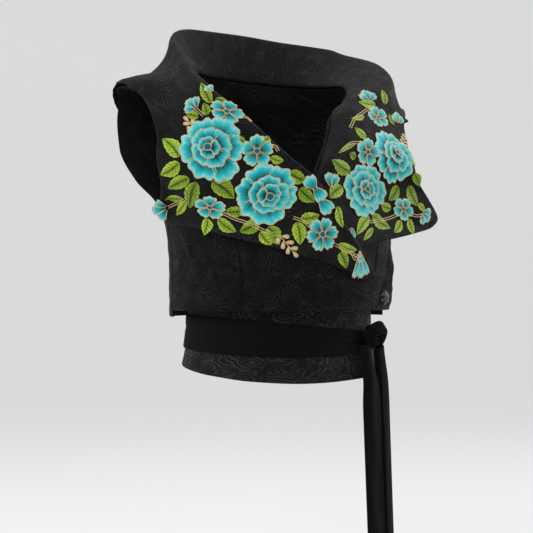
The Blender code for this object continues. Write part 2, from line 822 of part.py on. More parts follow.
def make_knot():
    """The sash's knot: a soft lump with a turn of cloth across it, flat where it sits."""
    seat, outward, along = knot_frame()
    up = Vector((0.0, 0.0, 1.0))
    points = [seat + outward * KNOT_DEPTH]
    for ring in range(1, KNOT_RINGS):
        tip = 0.5 * math.pi * ring / (KNOT_RINGS - 1)
        for step in range(KNOT_SIDES):
            angle = math.tau * step / KNOT_SIDES
            spread = math.sin(tip) ** 0.8
            fold = 1.0 + KNOT_FOLD * math.cos(3.0 * angle + 0.6) * math.sin(2.0 * tip)
            across = along * (KNOT_WIDTH * 0.5 * spread * math.cos(angle) * fold)
            rise = up * (KNOT_TALL * 0.5 * spread * math.sin(angle) * fold)
            points.append(seat + across + rise + outward * (KNOT_DEPTH * math.cos(tip) * fold))
    points.append(seat)
    faces = turned_faces(KNOT_RINGS - 1, KNOT_SIDES)
    add_object("sash_knot", points, faces, crepe("sash_knot"))


def under_knot(aside):
    """How far the knot's underside lies above its lowest point, at a place along the sash."""
    share = min(KNOT_CORNER, abs(aside) / (0.5 * KNOT_WIDTH))
    return 0.5 * KNOT_TALL * (1.0 - math.sqrt(1.0 - share * share))


def make_tail(name, tail):
    """A hanging end of the sash, folded lengthways once or twice, from under the knot."""
    seat, outward, along = knot_frame()
    start = seat + outward * tail.out + along * tail.aside
    start.z = KNOT_HEIGHT - 0.5 * KNOT_TALL - GAP
    across = Vector((tail.facing_x, tail.facing_y, 0.0)).normalized()
    front = across.cross(Vector((0.0, 0.0, 1.0))).normalized()
    if front.dot(outward) < 0.0:
        front = -front
    inside, outside = [], []
    for level in range(TAIL_LEVELS + 1):
        share = level / TAIL_LEVELS
        away = tail.flare * ease(share * FLARE_OVER) + tail.drift * share
        middle_point = start + outward * away - Vector((0.0, 0.0, tail.length * share))
        wide = tail.width * mix(0.62, 1.0, ease(share * 4.0))
        inner_row, outer_row = [], []
        for step in range(TAIL_STEPS + 1):
            place = step / TAIL_STEPS - 0.5
            wave = tail.fold * math.cos(math.tau * tail.folds * place + 1.5 * share)
            point = middle_point + across * (wide * place) + front * wave
            point.z += under_knot((point - seat).dot(along)) * (1.0 - ease(share * 5.0))
            inner_row.append(point)
            outer_row.append(point + front * TAIL_WALL)
        inside.append(inner_row)
        outside.append(outer_row)
    wall(name, inside, outside, crepe(name))


def collar_tree():
    """The collar's faces, to find places on."""
    mesh = bpy.data.objects["collar"].data
    points = [corner.co / MM for corner in mesh.vertices]
    return BVHTree.FromPolygons(points, [face.vertices for face in mesh.polygons])


def seen(tree, x, z):
    """Where a place of the view lies on the collar, and the way its cloth faces there."""
    target = Vector((x * math.cos(VIEW_TURN), -x * math.sin(VIEW_TURN), z))
    way = (target - VIEWPOINT).normalized()
    place, normal, _, _ = tree.ray_cast(VIEWPOINT, way)
    if place is None:
        place = target
        for _ in range(4):
            near, normal, _, _ = tree.find_nearest(place)
            place = VIEWPOINT + way * (near - VIEWPOINT).dot(way)
    if normal.dot(way) > 0.0:
        normal = -normal
    return place, normal


def seat(tree, flat, normal, lift):
    """A point dropped along the normal onto the collar, then raised by lift."""
    place, _, _, _ = tree.ray_cast(flat + normal * 20.0, -normal, 50.0)
    if place is None:
        near, _, _, _ = tree.find_nearest(flat)
        place = flat + normal * (near - flat).dot(normal)
    return place + normal * lift


def clearance(tree, centre, normal, rings):
    """How far the collar rises above straight spans between the places of an applique's underside."""
    spans = []
    inner = [centre] * len(rings[0])
    for ring in rings:
        spans += list(zip(inner, ring)) + list(zip(ring, ring[1:] + ring[:1]))
        spans += list(zip(inner, ring[1:] + ring[:1]))
        inner = ring
    most = 0.0
    for start, end in spans:
        low, high = seat(tree, start, normal, 0.0), seat(tree, end, normal, 0.0)
        for share in (0.15, 0.3, 0.45, 0.6, 0.75, 0.9):
            under = seat(tree, start.lerp(end, share), normal, 0.0)
            most = max(most, (under - low.lerp(high, share)).dot(normal))
    return most


def make_plate(tree, name, centre, normal, outline, shares, rise, surface):
    """A closed applique: its top from the middle out to the outline, then its underside back."""
    rings = [[centre + spoke * share for spoke in outline] for share in shares]
    room = APPLIQUE_GAP + clearance(tree, centre, normal, rings)
    top = room + APPLIQUE_WALL
    points = [seat(tree, centre, normal, top + rise)]
    for share, ring in zip(shares, rings):
        points += [seat(tree, place, normal, top + rise * (1.0 - share * share)) for place in ring]
    for ring in reversed(rings):
        points += [seat(tree, place, normal, room) for place in ring]
    points.append(seat(tree, centre, normal, room))
    faces = turned_faces(2 * len(shares), len(outline))
    add_object(name, points, faces, surface)


def make_motif(tree, motif):
    """A flower with scalloped petals, lying on the collar."""
    centre, _ = seen(tree, motif.x, motif.z)
    normal = Vector()
    for across in (-8, 0, 8):
        for up in (-8, 0, 8):
            normal += seen(tree, motif.x + across, motif.z + up)[1]
    normal.normalize()
    up = Vector((0.0, 0.0, 1.0))
    up = (up - normal * up.dot(normal)).normalized()
    right = up.cross(normal)
    turn = math.radians(motif.facing)
    upwards = up * math.cos(turn) + right * math.sin(turn)
    sideways = right * math.cos(turn) - up * math.sin(turn)
    sides = 3 * motif.petals
    outline = []
    for side in range(sides):
        angle = math.tau * side / sides
        reach = motif.radius * (1.0 - NOTCH + NOTCH * math.cos(motif.petals * angle))
        outline.append(sideways * (reach * math.sin(angle)) + upwards * (reach * math.cos(angle) * motif.flat))
    shares = (0.34, 0.68, 1.0) if motif.petals > 6 else (0.5, 1.0)
    silk = material(motif.name, (0.02, 0.4, 0.45), 0.4)
    make_plate(tree, motif.name, centre, normal, outline, shares, motif.rise, silk)


def make_leaf(tree, leaf):
    """A pointed leaf, lying on the collar."""
    base, first = seen(tree, leaf.x, leaf.z)
    tip, last = seen(tree, leaf.tip_x, leaf.tip_z)
    centre, middle_normal = seen(tree, 0.5 * (leaf.x + leaf.tip_x), 0.5 * (leaf.z + leaf.tip_z))
    normal = (first + last + middle_normal).normalized()
    along = tip - base
    along -= normal * along.dot(normal)
    across = along.normalized().cross(normal) * (0.5 * leaf.width)
    outline = [along * (far - 0.5) + across * wide for far, wide in LEAF_OUTLINE]
    silk = material(leaf.name, (0.2, 0.36, 0.03), 0.45)
    make_plate(tree, leaf.name, centre, normal, outline, (1.0,), LEAF_RISE, silk)


for leftover in list(bpy.data.objects):
    bpy.data.objects.remove(leftover)

make_back()
make_right_front()
make_left_front()
make_collar()
make_button()
make_belt()
make_sash()
make_knot()
for tail_name, tail_row in TAILS.items():
    make_tail(tail_name, tail_row)
on_collar = collar_tree()
for motif_row in MOTIFS:
    make_motif(on_collar, motif_row)
for leaf_row in LEAVES:
    make_leaf(on_collar, leaf_row)
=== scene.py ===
"""Looks of the embroidered wrap waistcoat: relief jacquard, stitched collar, crepe sash and studio.

Sizes are in millimetres until a mesh is made. A place on the body is a turn in degrees round it,
from 0 at the centre front, 90 at the wearer's right, 180 at the centre back to 270 at the left,
and a height above the shoulder's neck point. The wearer faces -Y.
"""
import math
from collections import namedtuple

import bpy
import numpy as np
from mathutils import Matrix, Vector
from mathutils.bvhtree import BVHTree


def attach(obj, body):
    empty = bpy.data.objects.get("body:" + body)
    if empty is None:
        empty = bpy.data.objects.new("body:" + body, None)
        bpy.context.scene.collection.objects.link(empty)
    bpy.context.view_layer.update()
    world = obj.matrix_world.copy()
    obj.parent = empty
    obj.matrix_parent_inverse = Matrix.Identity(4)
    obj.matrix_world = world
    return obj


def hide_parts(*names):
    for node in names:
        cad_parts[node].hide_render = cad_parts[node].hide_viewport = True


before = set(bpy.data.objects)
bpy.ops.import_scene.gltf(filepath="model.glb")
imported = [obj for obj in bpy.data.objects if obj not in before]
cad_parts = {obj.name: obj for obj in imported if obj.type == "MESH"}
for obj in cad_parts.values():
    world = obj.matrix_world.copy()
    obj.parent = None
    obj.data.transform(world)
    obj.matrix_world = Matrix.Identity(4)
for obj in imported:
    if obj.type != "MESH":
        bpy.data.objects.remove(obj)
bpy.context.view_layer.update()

MM = 0.001

# Walls of the panels and the collar, and the room that pieces leave between them
WALL = 1.8
COLLAR_WALL = 2.4
GAP = 0.3
COLLAR_ROOM = 1.8
SHOULDER_ROOM = 2.6

# Heights of the fronts' hem, the back's hem, the armhole's foot and the shoulder's tip
HEM = -298.0
BACK_HEM = -306.0
UNDERARM = -185.0
SHOULDER_TIP = -33.0

# The garment's outline, a row for each height. middle is how far it lies to the wearer's left.
Section = namedtuple("Section", "height half_width front back middle")
BODY = [
    Section(-330, 146, 109, 104.3, 0),
    Section(-270, 146, 116, 100, 0),
    Section(-220, 147, 124, 98, 0),
    Section(-185, 151, 126, 98, 0),
    Section(-165, 160, 124, 99, -2),
    Section(-140, 186, 119, 102, -5),
    Section(-106, 203, 110, 106, -9),
    Section(-75, 207, 94, 106, -9),
    Section(-50, 205, 76, 98, -9),
    Section(-33, 199, 62, 88, -9),
    Section(-20, 164, 50, 80, -8),
    Section(-5, 112, 32, 76, -6),
    Section(12, 58, 22, 74, -4),
]

# The armhole's two sides, as turns from the centre front of their own side
Armhole = namedtuple("Armhole", "height front back")
ARMHOLE = [
    Armhole(-185, 90, 90),
    Armhole(-180, 79, 99),
    Armhole(-168, 69, 107),
    Armhole(-140, 56, 112),
    Armhole(-110, 50, 113.5),
    Armhole(-80, 49, 115),
    Armhole(-56, 52, 114.5),
    Armhole(-40, 64, 110),
    Armhole(-33, 87, 94),
]

# Where the fronts end at the neck and the overlap
Opening = namedtuple("Opening", "height right_turn left_turn")
OPENING = [
    Opening(-298, -38.8, 372),
    Opening(-275, -38.8, 371.5),
    Opening(-266, -38.0, 371),
    Opening(-255, -33.0, 371),
    Opening(-221, -21.4, 370),
    Opening(-191, -12.2, 368),
    Opening(-160, -5.5, 364),
    Opening(-136, -0.8, 357.5),
    Opening(-108, 8.1, 352),
    Opening(-78, 16, 347),
    Opening(-51, 23.9, 343),
    Opening(-21, 39.8, 327),
    Opening(-8, 60, 303),
    Opening(2, 85, 275),
]

# The princess seam, as a turn from the centre front of its own side, up to the armhole
Seam = namedtuple("Seam", "height turn")
PRINCESS = [
    Seam(-330, 36.3),
    Seam(-240, 38.3),
    Seam(-193, 41.9),
    Seam(-150, 48.5),
    Seam(-118, 50.6),
]
PRINCESS_TOP = -122.0

# The worn garment leans: its shoulders lie to the wearer's right and the right one is higher
SHOULDER_SHIFT = -10.0
SHOULDER_TILT = -0.08
LEAN_FROM = -260.0
LEAN_OVER = 200.0

# The right front rides over the left one with its lapel
OVERLAP_RISE = 7.0
OVERLAP_FROM = 32.0
OVERLAP_OVER = 22.0

# The rounded corner of the right front's hem
CORNER_FROM = -29.5
CORNER_OVER = 9.5
CORNER_RADIUS = 13.0
CORNER_FADE = 45.0

# Folds of the panels, each from its low end to its high end, with their depth and half width in
# millimetres. Those of the left front drag from the button up to the armhole.
Fold = namedtuple("Fold", "low_turn low_height high_turn high_height depth width")
DRAG_FOLDS = [
    Fold(308, -292, 286, -214, 4.5, 5.0),
    Fold(311, -284, 298, -206, 4.0, 5.0),
    Fold(304, -300, 277, -246, 3.5, 5.5),
]
RIGHT_FOLDS = [
    Fold(-34, -288, -8, -262, 1.3, 5.0),
    Fold(-30, -276, 0, -244, 1.0, 6.0),
    Fold(24, -290, 30, -236, 0.9, 5.0),
    Fold(62, -268, 74, -200, 1.4, 6.5),
    Fold(48, -298, 55, -252, 0.9, 4.5),
]
BACK_FOLDS = [
    Fold(204, -300, 196, -238, 1.7, 6.0),
    Fold(151, -302, 158, -226, 1.9, 6.5),
    Fold(180, -296, 178, -262, 1.1, 5.0),
    Fold(106, -290, 116, -206, 1.6, 6.0),
    Fold(256, -286, 243, -212, 1.5, 6.0),
    Fold(126, -140, 150, -118, 1.4, 6.5),
    Fold(236, -144, 212, -122, 1.3, 6.5),
]

# The collar, a row for each section from the tip of the right lapel round the neck to the left lapel.
# seam is its place on the body, crest the top of the roll, edge the free edge, and steep says how
# straight down the fall drops before it flares out.
Cut = namedtuple("Cut", "seam_turn seam_height crest edge steep")
COLLAR = [
    Cut(-32.0, -254, (84, -114, -256), (78, -113, -263), 0.0),
    Cut(-21.4, -221, (58, -129, -221), (13, -133, -239), 0.0),
    Cut(-12.2, -191, (34, -137, -191), (-40, -131, -224), 0.0),
    Cut(-0.7, -136, (3, -134, -136), (-108, -97, -206), 0.0),
    Cut(8.1, -108, (-31, -129, -108), (-134, -69, -198), 0.0),
    Cut(13.0, -90, (-50, -123, -91), (-160, -28, -188), 0.0),
    Cut(16.0, -78, (-63, -117, -78), (-172, -22, -180), 0.1),
    Cut(20.0, -64, (-78, -109, -64), (-174, -42, -162), 0.1),
    Cut(23.9, -51, (-91, -100, -51), (-176, -52, -144), 0.2),
    Cut(39.8, -21, (-120, -73, -21), (-182, -63, -93), 0.3),
    Cut(60.0, -8, (-130, -48, -6), (-188, -45, -54), 0.5),
    Cut(85.0, 2, (-132, -22, 12), (-197, -31, -39), 0.8),
    Cut(105.0, 2, (-131, 18, 38), (-203, 4, -34), 1.0),
    Cut(130.0, 2, (-114, 56, 59), (-183, 52, -60), 1.0),
    Cut(155.0, 2, (-76, 85, 69), (-125, 91, -95), 1.0),
    Cut(180.0, 2, (-14, 98, 71), (-10, 110, -105), 1.0),
    Cut(205.0, 2, (44, 95, 68), (92, 100, -103), 1.0),
    Cut(228.0, 2, (94, 82, 65), (148, 80, -92), 1.0),
    Cut(246.0, 2, (143, 64, 59), (178, 58, -68), 1.0),
    Cut(262.0, 2, (166, 32, 49), (186, 24, -42), 1.0),
    Cut(277.0, 1, (169, 4, 35), (180, -6, -33), 0.9),
    Cut(290.0, -2, (161, -20, 21), (175, -28, -32), 0.8),
    Cut(302.0, -6, (139, -46, 5), (168, -42, -38), 0.6),
    Cut(314.0, -11, (113, -60, -7), (163, -52, -50), 0.4),
    Cut(326.0, -19, (90, -66, -16), (160, -66, -66), 0.2),
    Cut(341.6, -40, (69, -90, -40), (155, -85, -88), 0.1),
    Cut(345.6, -66, (56, -105, -66), (156, -98, -112), 0.1),
    Cut(350.0, -93, (39, -117, -93), (180, -78, -142), 0.0),
    Cut(353.1, -114, (26, -122, -114), (196, -72, -172), 0.0),
    Cut(357.5, -137, (10, -122, -137), (186, -74, -186), 0.0),
    Cut(361.0, -150, (-1, -124.8, -150), (148, -88, -198), 0.0),
    Cut(363.5, -162, (-8, -127, -162), (86, -110, -211), 0.0),
    Cut(366.0, -176, (-14, -128.6, -176), (33, -124, -221), 0.0),
]
# How far the roll reaches to each side of the crest, in millimetres and as a share of the stand and the
# fall, and the first section past the right front's overlap
ROLL = 13.0
ROLL_SHARE = 0.12
LEFT_LAPEL = 20
# The fall over the left shoulder is evened this often, from this x and y on
EVENINGS = 24
EVEN_FROM_X = 112.0
EVEN_FROM_Y = -72.0
EVEN_OVER = 22.0

# The wide belt, a row for each height, and its lower edge and the sash's edges by turn
BELT_TOP = -289.0
BELT_TALL = 92.0
BELT_WALL = 2.2
Waist = namedtuple("Waist", "height half_width front back")
BELT = [
    Waist(-400, 136, 106, 100),
    Waist(-370, 129, 102, 99.6),
    Waist(-345, 123.5, 98.5, 99.4),
    Waist(-315, 120, 95.5, 99.2),
    Waist(-289, 119.5, 95, 98.4),
]
BeltEdge = namedtuple("BeltEdge", "turn bottom")
BELT_EDGE = [
    BeltEdge(-180, -374),
    BeltEdge(-90, -378),
    BeltEdge(-40, -384),
    BeltEdge(5, -389),
    BeltEdge(34, -386),
    BeltEdge(58, -380),
    BeltEdge(110, -369),
    BeltEdge(180, -374),
]
SashEdge = namedtuple("SashEdge", "turn top bottom")
SASH = [
    SashEdge(-180, -320, -356),
    SashEdge(-135, -322, -356),
    SashEdge(-75, -323, -352),
    SashEdge(-47, -325, -347),
    SashEdge(-38, -323, -350),
    SashEdge(-11, -319, -355),
    SashEdge(9, -315, -356),
    SashEdge(42, -308, -353),
    SashEdge(110, -304, -346),
    SashEdge(145, -312, -352),
    SashEdge(180, -320, -356),
]
SASH_WALL = 2.0
SASH_ROOM = 0.8
CREASE_DEPTH = 2.2
CREASE_REACH = 26.0
# Soft lengthways creases of the sash: centre and width as shares of its height, and their turns
Crease = namedtuple("Crease", "low_turn high_turn low_share high_share depth width")
SASH_CREASES = [
    Crease(-46, 10, 0.52, 0.84, 1.5, 0.07),
    Crease(-46, -6, 0.4, 0.42, 1.3, 0.06),
    Crease(-44, -22, 0.3, 0.16, 1.1, 0.06),
    Crease(-47, -90, 0.5, 0.66, 1.3, 0.08),
    Crease(-47, -120, 0.4, 0.3, 1.2, 0.07),
    Crease(50, 130, 0.72, 0.6, 0.7, 0.08),
    Crease(-180, -130, 0.35, 0.42, 0.8, 0.09),
    Crease(120, 180, 0.3, 0.38, 0.8, 0.08),
]

# The knot over the sash, and how far from its middle its underside is followed by the tails
KNOT_TURN = -46.0
KNOT_HEIGHT = -332.0
KNOT_WIDTH = 34.0
KNOT_TALL = 32.0
KNOT_DEPTH = 19.0
KNOT_ROOM = 1.4
KNOT_CORNER = 0.8

# The hanging ends: their place under the knot, the way they face, their size, how far they swing out,
# how many folds they have and how deep, and the width that is tucked behind
Tail = namedtuple("Tail", "out aside facing_x facing_y width length flare drift folds fold tuck")
TAILS = {
    "sash_tail_front": Tail(4.5, -18.0, 0.9, 0.43, 35.0, 300.0, 7.0, 11.0, 1.0, 1.6, 0.0),
    "sash_tail_back": Tail(11.0, 12.0, 0.75, 0.66, 24.0, 288.0, 4.0, 11.0, 0.7, 1.4, 6.0),
}
TAIL_WALL = 2.4
FLARE_OVER = 6.0
TAIL_COLUMNS = 19
TUCK_COLUMNS = 4

# The button's place, how far it nods down, and its outline from its shank to its dome
BUTTON_TURN = -46.6
BUTTON_HEIGHT = -282.0
BUTTON_NOD = 0.35
Ring = namedtuple("Ring", "radius rise")
BUTTON_PROFILE = [
    Ring(0.3, 0.0),
    Ring(2.4, 0.0),
    Ring(2.4, 2.6),
    Ring(6.0, 2.8),
    Ring(9.0, 3.0),
    Ring(10.4, 3.5),
    Ring(11.0, 4.3),
    Ring(10.9, 5.0),
    Ring(10.3, 5.6),
    Ring(9.6, 5.7),
    Ring(9.0, 5.3),
    Ring(8.6, 5.1),
    Ring(7.6, 5.8),
    Ring(6.2, 6.6),
    Ring(4.6, 7.3),
    Ring(3.0, 7.8),
    Ring(1.4, 8.1),
    Ring(0.2, 8.2),
]

# Where the button's dome with its rosette ends, where the rope round it begins, and its dark underside
DOME_RADIUS = 8.7
DOME_RISE = 5.05
ROPE_RADIUS = 9.2
ROPE_RISE = 5.3
UNDERSIDE_RISE = 3.4
BUTTON_RINGS = 90
BUTTON_SIDES = 120

# Spacing of the cloth's points, and the gap at a seam
PANEL_SPACING = 2.1
COLLAR_SPACING = 2.7
CREPE_SPACING = 2.4
SEAM_GAP = 0.02
# The body is about 1.6 times as wide as deep, so a turn covers less cloth at its sides
SIDE_RATIO = 1.6
# Mean radius of the body and of the waist, and the cloth that a degree covers
BODY_RADIUS = 140.0
WAIST_RADIUS = 112.0
MM_PER_DEGREE = 2.2
# Height and size of the small puckers of the panels and of the collar's soft swells
PUCKER = 0.25
PUCKER_SIZE = 16.0
SWELL = 0.5
SWELL_SIZE = 70.0

# The jacquard's relief: contour lines round scattered ovals, by the ovals' width and height in
# centimetres, how many turns of line they hold, and how strongly the lines show. tone brightens the
# cloth's greys and gloss is how much it shines.
Relief = namedtuple("Relief", "name wide tall lines contrast tone gloss")
# The body and the collar are one jacquard; the collar's copy has the higher tone and the body's the lower,
# which is painted light on the collar and painted shade on the body beneath its edge.
BODY_RELIEF = Relief("black_jacquard", 2.5, 4.8, 9.0, 1.05, 0.62, 0.09)
COLLAR_RELIEF = Relief("black_jacquard_collar", 2.5, 4.4, 9.0, 0.85, 1.15, 0.13)
BELT_RELIEF = Relief("black_jacquard_belt", 3.6, 1.6, 5.5, 1.6, 0.95, 0.13)

# Tones of the jacquard and of the button's metal, from their hollows to their raised parts
JACQUARD_GREYS = [(0.1, 0.0013), (0.5, 0.0041), (1.0, 0.0175)]
METAL_TONES = [
    (0.0, (0.003, 0.003, 0.0035)),
    (0.7, (0.009, 0.008, 0.008)),
    (1.0, (0.28, 0.23, 0.19)),
]

# The photograph's view: turned to the wearer's right, level with the ribs
VIEW_TURN = 22.0
VIEW_DISTANCE = 2800.0
VIEW_HEIGHT = -241.8
VIEW_ASIDE = -17.55
VIEW_ANGLE = math.radians(VIEW_TURN)
PICTURE_WIDTH = 692.9
SENSOR = 36.0


def smooth(x):
    """Smooth step from 0 to 1."""
    x = np.clip(x, 0.0, 1.0)
    return x * x * (3.0 - 2.0 * x)


def mix(a, b, share):
    """The value that lies a share of the way from a to b."""
    return a + (b - a) * share


def unit(vectors):
    """Vectors of the same directions, one long."""
    return vectors / np.maximum(np.linalg.norm(vectors, axis=-1, keepdims=True), 1e-9)


class Curve:
    """A column of a table as a smooth function of another column, which never overshoots."""

    def __init__(self, xs, ys):
        self.xs = np.array(xs, float)
        self.ys = np.array(ys, float)
        widths = np.diff(self.xs)
        steps = np.diff(self.ys) / widths
        inner = np.zeros(len(steps) - 1)
        turning = steps[:-1] * steps[1:] > 0.0
        near = 2.0 * widths[1:] + widths[:-1]
        far = widths[1:] + 2.0 * widths[:-1]
        before, after = steps[:-1][turning], steps[1:][turning]
        inner[turning] = (near + far)[turning] / (near[turning] / before + far[turning] / after)
        self.slopes = np.concatenate([steps[:1], inner, steps[-1:]])

    def __call__(self, x):
        x = np.clip(x, self.xs[0], self.xs[-1])
        i = np.clip(np.searchsorted(self.xs, x, side="right") - 1, 0, len(self.xs) - 2)
        width = self.xs[i + 1] - self.xs[i]
        s = (x - self.xs[i]) / width
        return (
            self.ys[i] * (2 * s**3 - 3 * s**2 + 1)
            + width * self.slopes[i] * (s**3 - 2 * s**2 + s)
            + self.ys[i + 1] * (3 * s**2 - 2 * s**3)
            + width * self.slopes[i + 1] * (s**3 - s**2)
        )


def through(values):
    """A smooth curve through values at 0, 1, 2 and so on."""
    return Curve(np.arange(len(values)), values)


def column(rows, key, by="height"):
    """One column of a table read against another."""
    return Curve([getattr(row, by) for row in rows], [getattr(row, key) for row in rows])


half_width = column(BODY, "half_width")
front_depth = column(BODY, "front")
back_depth = column(BODY, "back")
middle = column(BODY, "middle")
arm_front = column(ARMHOLE, "front")
arm_back = column(ARMHOLE, "back")
right_opening = column(OPENING, "right_turn")
left_opening = column(OPENING, "left_turn")
princess = column(PRINCESS, "turn")
belt_wide = column(BELT, "half_width")
belt_front = column(BELT, "front")
belt_back = column(BELT, "back")
belt_bottom = column(BELT_EDGE, "bottom", "turn")
sash_top = column(SASH, "top", "turn")
sash_bottom = column(SASH, "bottom", "turn")


def ripple(u, v, size, seed):
    """Soft, even noise between about -1 and 1, with swells of the given size."""
    rng = np.random.default_rng(seed)
    total = np.zeros(np.broadcast(u, v).shape)
    waves = 9
    for _ in range(waves):
        angle = rng.uniform(0.0, math.tau)
        length = size * rng.uniform(0.7, 1.8)
        phase = rng.uniform(0.0, math.tau)
        total = total + np.sin((u * math.cos(angle) + v * math.sin(angle)) * math.tau / length + phase)
    return total / math.sqrt(waves)


def on_body(turn, height, out=0.0):
    """The point out millimetres outside the garment's inner face, before it leans."""
    angle = np.radians(turn)
    wide = half_width(height)
    deep = np.where(np.cos(angle) > 0.0, front_depth(height), back_depth(height))
    across, along = -np.sin(angle), -np.cos(angle)
    flat = np.zeros(np.shape(across / wide))
    normal = unit(np.stack([across / wide, along / deep, flat], -1))
    place = np.stack([middle(height) + wide * across, deep * along, height + flat], -1)
    return place + normal * np.asarray(out)[..., None]


def lean(points):
    """Move points of the straight garment to where the worn one has them."""
    share = smooth((points[..., 2] - LEAN_FROM) / LEAN_OVER)
    moved = points.copy()
    moved[..., 0] += SHOULDER_SHIFT * share
    moved[..., 2] += SHOULDER_TILT * share * points[..., 0]
    return moved


def overlap(turn):
    """How far the right front lies outside the body, over the left front and its lapel."""
    return OVERLAP_RISE * smooth((OVERLAP_FROM - turn) / OVERLAP_OVER)


def folds(rows, turn, height):
    """Height of a panel's folds at places on it."""
    total = np.zeros(np.broadcast(turn, height).shape)
    for fold in rows:
        share = (height - fold.low_height) / (fold.high_height - fold.low_height)
        ridge = mix(fold.low_turn, fold.high_turn, share)
        away = (turn - ridge) * MM_PER_DEGREE / fold.width
        fade = smooth(4.0 * share) * smooth(2.5 * (1.0 - share))
        total += fold.depth * fade * np.exp(-away * away)
    return total


def turn_of(points):
    """The turn of points, measured as on_body measures it."""
    z = points[..., 2]
    deep = np.where(points[..., 1] < 0.0, front_depth(z), back_depth(z))
    across = (middle(z) - points[..., 0]) / half_width(z)
    return np.degrees(np.arctan2(across, -points[..., 1] / deep))


PROFILE_HEIGHTS = np.arange(-330.0, 13.0, 6.0)


def rest_on_body(points, clear):
    """Push points of the collar out until they lie clear of the body in their own upright plane."""
    flat = points.reshape(-1, 3)
    room = np.broadcast_to(clear, points.shape[:-1]).reshape(-1)
    centre = middle(flat[:, 2])
    aside = flat[:, 0] - centre
    radius = np.hypot(aside, flat[:, 1])
    across = np.abs(aside) / radius
    along = flat[:, 1] / radius
    wide = half_width(PROFILE_HEIGHTS)[None, :]
    deep = np.where(along[:, None] > 0.0, back_depth(PROFILE_HEIGHTS), front_depth(PROFILE_HEIGHTS))
    rim = 1.0 / np.hypot(across[:, None] / wide, along[:, None] / deep)
    dr = np.diff(rim, axis=1)
    dz = np.diff(PROFILE_HEIGHTS)[None, :]
    share = (radius[:, None] - rim[:, :-1]) * dr + (flat[:, 2:] - PROFILE_HEIGHTS[None, :-1]) * dz
    share = np.clip(share / (dr * dr + dz * dz), 0.0, 1.0)
    near_r = rim[:, :-1] + share * dr
    near_z = PROFILE_HEIGHTS[None, :-1] + share * dz
    away = np.hypot(radius[:, None] - near_r, flat[:, 2:] - near_z)
    best = np.argmin(away, axis=1)
    row = np.arange(len(flat))
    length = np.hypot(dr, dz)[row, best]
    normal_r = (dz + 0.0 * dr)[row, best] / length
    normal_z = -dr[row, best] / length
    near_r, near_z, away = near_r[row, best], near_z[row, best], away[row, best]
    side = (radius - near_r) * normal_r + (flat[:, 2] - near_z) * normal_z
    height = np.where(side >= 0.0, away, -away)
    new_radius = near_r + normal_r * room
    new_z = near_z + normal_z * room
    pushed = np.stack(
        [centre + aside * new_radius / radius, flat[:, 1] * new_radius / radius, new_z], -1
    )
    return np.where((height < room)[:, None], pushed, flat).reshape(points.shape)


cut_seam_turn = through([cut.seam_turn for cut in COLLAR])
cut_seam_height = through([cut.seam_height for cut in COLLAR])
cut_steep = through([cut.steep for cut in COLLAR])
cut_crest = [through([cut.crest[axis] for cut in COLLAR]) for axis in range(3)]
cut_edge = [through([cut.edge[axis] for cut in COLLAR]) for axis in range(3)]


def collar_clear(at, turn):
    """Room that the collar leaves for the panels under it at a section."""
    under = np.where(at < LEFT_LAPEL, overlap(turn), 0.0)
    return under + WALL + COLLAR_ROOM + SHOULDER_ROOM * cut_steep(at)


def collar_under(at, along):
    """The collar's hidden side: along is -1 at the seam, 0 at the roll and 1 at the free edge."""
    seam_turn = cut_seam_turn(at)
    seam = on_body(seam_turn, cut_seam_height(at), collar_clear(at, seam_turn))
    crest = np.stack([curve(at) for curve in cut_crest], -1)
    edge = np.stack([curve(at) for curve in cut_edge], -1)
    steep = cut_steep(at)[..., None]
    stand = np.linalg.norm(crest - seam, axis=-1, keepdims=True)
    fall = np.linalg.norm(edge - crest, axis=-1, keepdims=True)
    roll = np.minimum(ROLL, np.minimum(0.45 * stand, 0.45 * fall))
    inner = crest + unit(seam - crest) * roll
    level = 0.5 - 0.38 * steep
    hang = mix(crest, edge, np.concatenate([level, level, 0.5 + 0.1 * steep], -1))
    outer = crest + unit(hang - crest) * roll
    on_stand = mix(seam, inner, ((along + 1.0) / (1.0 - ROLL_SHARE))[..., None])
    s = ((along + ROLL_SHARE) / (2.0 * ROLL_SHARE))[..., None]
    on_roll = inner * (1 - s) ** 2 + crest * 2 * s * (1 - s) + outer * s * s
    s = ((along - ROLL_SHARE) / (1.0 - ROLL_SHARE))[..., None]
    on_fall = outer * (1 - s) ** 2 + hang * 2 * s * (1 - s) + edge * s * s
    on_fall = rest_on_body(on_fall, collar_clear(at, turn_of(on_fall)))
    along = along[..., None]
    return np.where(along < -ROLL_SHARE, on_stand, np.where(along < ROLL_SHARE, on_roll, on_fall))


def lengths(points, axis):
    """Distance travelled along a grid of points."""
    steps = np.linalg.norm(np.diff(points, axis=axis), axis=-1)
    start = np.zeros_like(np.take(steps, [0], axis=axis))
    return np.concatenate([start, np.cumsum(steps, axis=axis)], axis=axis)


def grid_normals(points):
    """Normals of a grid of points, towards rows crossed with columns."""
    return unit(np.cross(np.gradient(points, axis=0), np.gradient(points, axis=1)))


def rims(u, v, ring=False):
    """Distance of a grid's points from its free borders, in millimetres."""
    away = np.minimum(v - v[:, :1], v[:, -1:] - v)
    return away if ring else np.minimum(away, np.minimum(u - u[:1], u[-1:] - u))


def rolled(away, wall, radius=2.0, share=0.55):
    """Thickness of cloth that thins to its turned edge."""
    inward = np.clip(1.0 - away / radius, 0.0, 1.0)
    return wall * (1.0 - share * (1.0 - np.sqrt(np.maximum(0.0, 1.0 - inward * inward))))


def new_mesh(name, points, faces, surface, body="root"):
    """A smooth mesh object that rides on the garment."""
    mesh = bpy.data.meshes.new(name)
    mesh.from_pydata((np.asarray(points) * MM).tolist(), [], faces.tolist())
    mesh.shade_smooth()
    mesh.materials.append(surface)
    made = bpy.data.objects.new(name, mesh)
    bpy.context.scene.collection.objects.link(made)
    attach(made, body)
    return made


